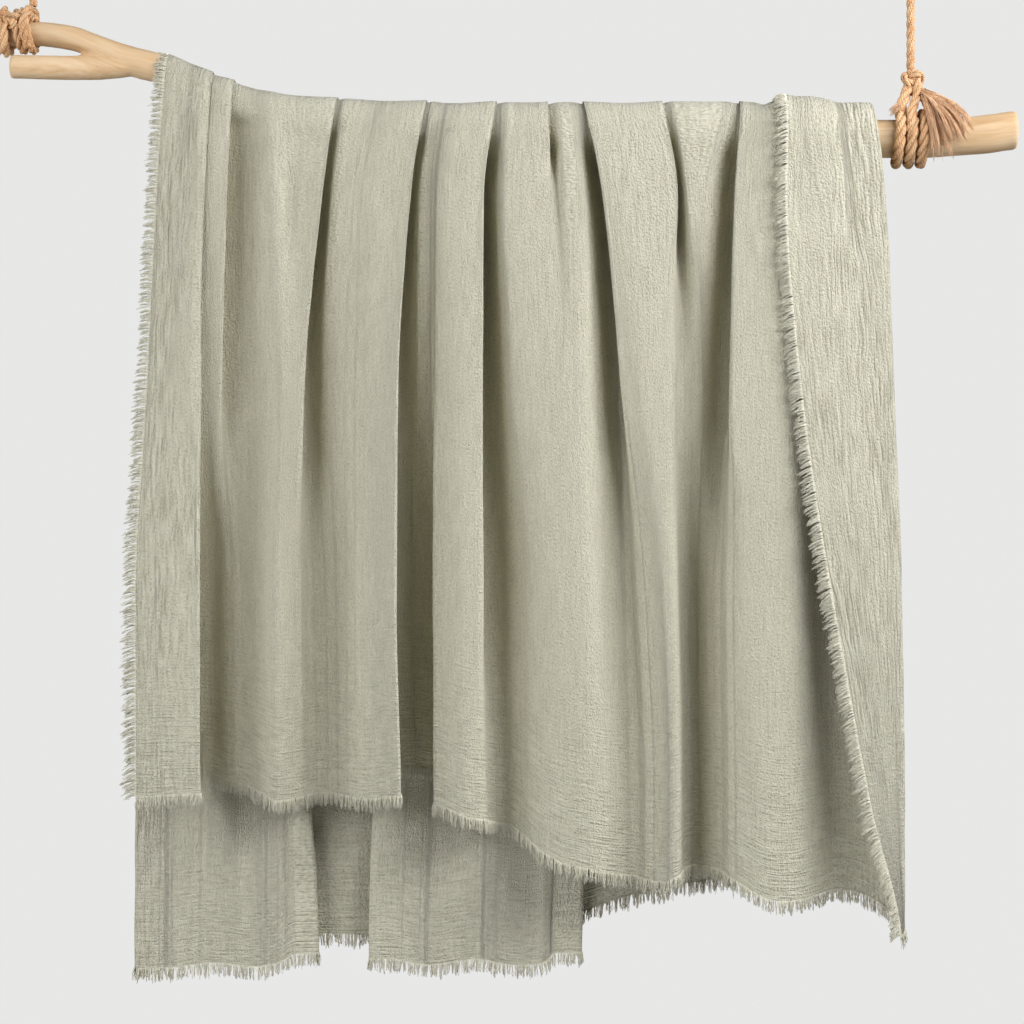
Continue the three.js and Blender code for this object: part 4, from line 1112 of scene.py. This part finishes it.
def rope_eye(name, x, node):
    """The eye at the top of a rope."""
    angle = np.linspace(-QUARTER, 3 * QUARTER, EYE_POINTS)
    height = EYE_CENTRE + EYE_RADIUS * np.sin(angle)
    ring = np.column_stack([x + EYE_RADIUS * np.cos(angle), angle * 0, height])
    turn = np.linspace(0, ROUND * TWINE_TURNS, 100)
    whipping = np.column_stack([x + 7.6 * np.cos(turn), 7.2 * np.sin(turn), 633.8 + turn / turn[-1] * 13])
    neck = [[x, 0, 632.4], [x, 0, 639], [x, 0, 645]]
    piece = mesh_piece(name, *gathered([
        laid_rope(ring, ROPE_DIAMETER * 0.96),
        laid_rope(whipping, TWINE, step=1.2),
        tube(resampled(neck, 3), NECK_RADIUS, 12),
    ]))
    return finish_piece(piece, jute_rope, "jute", node)


right_eye = rope_eye("right_rope_loop", RIGHT_ROPE_X, "right_rope_eye")
left_eye = rope_eye("left_rope_loop", LEFT_ROPE_X, "left_rope_eye")


# Frayed end: bunches of fibres at the knot's right side, and a few fibres at its left

FRAY_RADIUS = 0.44
FINE_RADIUS = 0.42
FRAY_COUNT = 420
BUNCHES = 21
FEW_COUNT = 60
FRAY_HEAD = np.array([460.4, -11, 470])
FEW_HEAD = np.array([442, -12, 460])


def frayed_end():
    """Fibres that spring from the knot, bow forward over the branch and hang."""
    random = np.random.default_rng(71)
    bunch = random.integers(0, BUNCHES, FRAY_COUNT)
    places = np.arange(BUNCHES) / (BUNCHES - 1) + random.normal(0, 0.014, BUNCHES)
    spread = places[bunch] + random.normal(0, 0.01, FRAY_COUNT)
    angle = -1.42 + 1.12 * spread
    lengths = 0.25 * random.uniform(0, 1, BUNCHES)[bunch]
    size = 62 * (0.86 + lengths + random.normal(0, 0.05, FRAY_COUNT))
    out = np.column_stack([np.cos(angle), angle * 0, np.sin(angle)])
    ahead = -(20 + 14 * random.uniform(0, 1, BUNCHES)[bunch] + random.normal(0, 0.7, FRAY_COUNT))
    fall = np.column_stack([ahead * 0, ahead, -size * 0.34])
    tips = FRAY_HEAD + out * (size * 0.8)[:, None] + fall
    bows = out * (size * 0.1)[:, None] + np.column_stack([ahead * 0, ahead * 0.3, size * 0.1])
    roots = FRAY_HEAD + random.normal(0, 1.8, (FRAY_COUNT, 3))
    few_roots = FEW_HEAD + random.normal(0, 1.5, (FEW_COUNT, 3))
    few_tips = FEW_HEAD + np.column_stack([
        random.uniform(-21, -13, FEW_COUNT),
        random.uniform(-10, -5, FEW_COUNT),
        random.uniform(-18, -9, FEW_COUNT),
    ])
    return mesh_piece("right_rope_fray", *gathered([
        fibres(roots, tips, bows, FRAY_RADIUS, 72, 7, 0.8),
        fibres(few_roots, few_tips, few_roots * 0 + [0, 0, 2], FINE_RADIUS, 73, 6, 0.8),
    ]))


finish_piece(frayed_end(), loose_jute, "jute", "right_rope_tassel")

for piece, node in ((right_riser, "right_rope_riser"), (left_riser, "left_rope_riser")):
    finish_piece(piece, jute_rope, "jute", node)

# Studio: a pale floor and a pale even surround

THROW_MIDDLE = np.array([-0.448, 0.0, -0.6])
FLOOR_RADIUS = 3.2
FLOOR_SIDES = 96
FLOOR_COLOUR = (0.7, 0.7, 0.69, 1)
FILL_COLOUR = (0.84, 0.845, 0.84, 1)
FILL_STRENGTH = 0.02
BACKDROP_COLOUR = (0.80, 0.805, 0.795, 1)

floor_mesh = bpy.data.meshes.new("floor")
floor_z = placed([0, 0, -FLOOR_DROP])[2]
floor_ring = [
    (THROW_MIDDLE[0] + FLOOR_RADIUS * math.cos(a), FLOOR_RADIUS * math.sin(a), floor_z)
    for a in np.linspace(0, 2 * math.pi, FLOOR_SIDES, endpoint=False)
]
floor_mesh.from_pydata(floor_ring, [], [tuple(range(FLOOR_SIDES))])
floor = bpy.data.objects.new("floor", floor_mesh)
bpy.context.scene.collection.objects.link(floor)
floor_finish = Finish("pale_floor")
floor_finish.set(Base_Color=FLOOR_COLOUR, Roughness=0.9)
floor_mesh.materials.append(floor_finish.material)

# The surround fills the shade a little, and the backdrop behind the part is brighter than that fill

bpy.context.scene.view_settings.view_transform = "Standard"
world = bpy.data.worlds.new("studio")
bpy.context.scene.world = world
world.use_nodes = True
tree = world.node_tree
background = tree.nodes["Background"]
background.inputs["Color"].default_value = FILL_COLOUR
background.inputs["Strength"].default_value = FILL_STRENGTH
seen = tree.nodes.new("ShaderNodeBackground")
seen.inputs["Color"].default_value = BACKDROP_COLOUR
seen.inputs["Strength"].default_value = 1.0
ray = tree.nodes.new("ShaderNodeLightPath")
chosen = tree.nodes.new("ShaderNodeMixShader")
tree.links.new(ray.outputs["Is Camera Ray"], chosen.inputs[0])
tree.links.new(background.outputs[0], chosen.inputs[1])
tree.links.new(seen.outputs[0], chosen.inputs[2])
tree.links.new(chosen.outputs[0], tree.nodes["World Output"].inputs["Surface"])

# Round soft lights that look at the throw's middle. Each has its turn to the viewer's right and its rise in
# degrees, its distance and size in metres, and its power in watts

SOFT_WHITE = (0.985, 1.0, 1.17)
LIGHTS = [
    ("left_side", -70, 6, 4.2, 2.2, 72),
    ("left_front", -40, 10, 4.2, 2.2, 66),
    ("right_front", 40, 28, 3.0, 1.6, 54),
    ("right_side", 70, 26, 3.0, 1.6, 72),
    ("above", 0, 60, 3.0, 1.6, 4),
    ("behind", 165, 12, 4.0, 2.2, 60),
]


def soft_light(name, turn, rise, distance, size, power):
    """A round area light that looks at the throw's middle."""
    turn, rise = math.radians(turn), math.radians(rise)
    away = np.array([math.sin(turn) * math.cos(rise), -math.cos(turn) * math.cos(rise), math.sin(rise)])
    place = (THROW_MIDDLE + away * distance).tolist()
    light = bpy.data.lights.new(name, "AREA")
    light.shape = "DISK"
    light.size = size
    light.energy = power
    light.color = SOFT_WHITE
    lamp = bpy.data.objects.new(name, light)
    lamp.location = place
    lamp.rotation_euler = (Vector(THROW_MIDDLE) - Vector(place)).to_track_quat("-Z", "Y").to_euler()
    bpy.context.scene.collection.objects.link(lamp)


for light in LIGHTS:
    soft_light(*light)
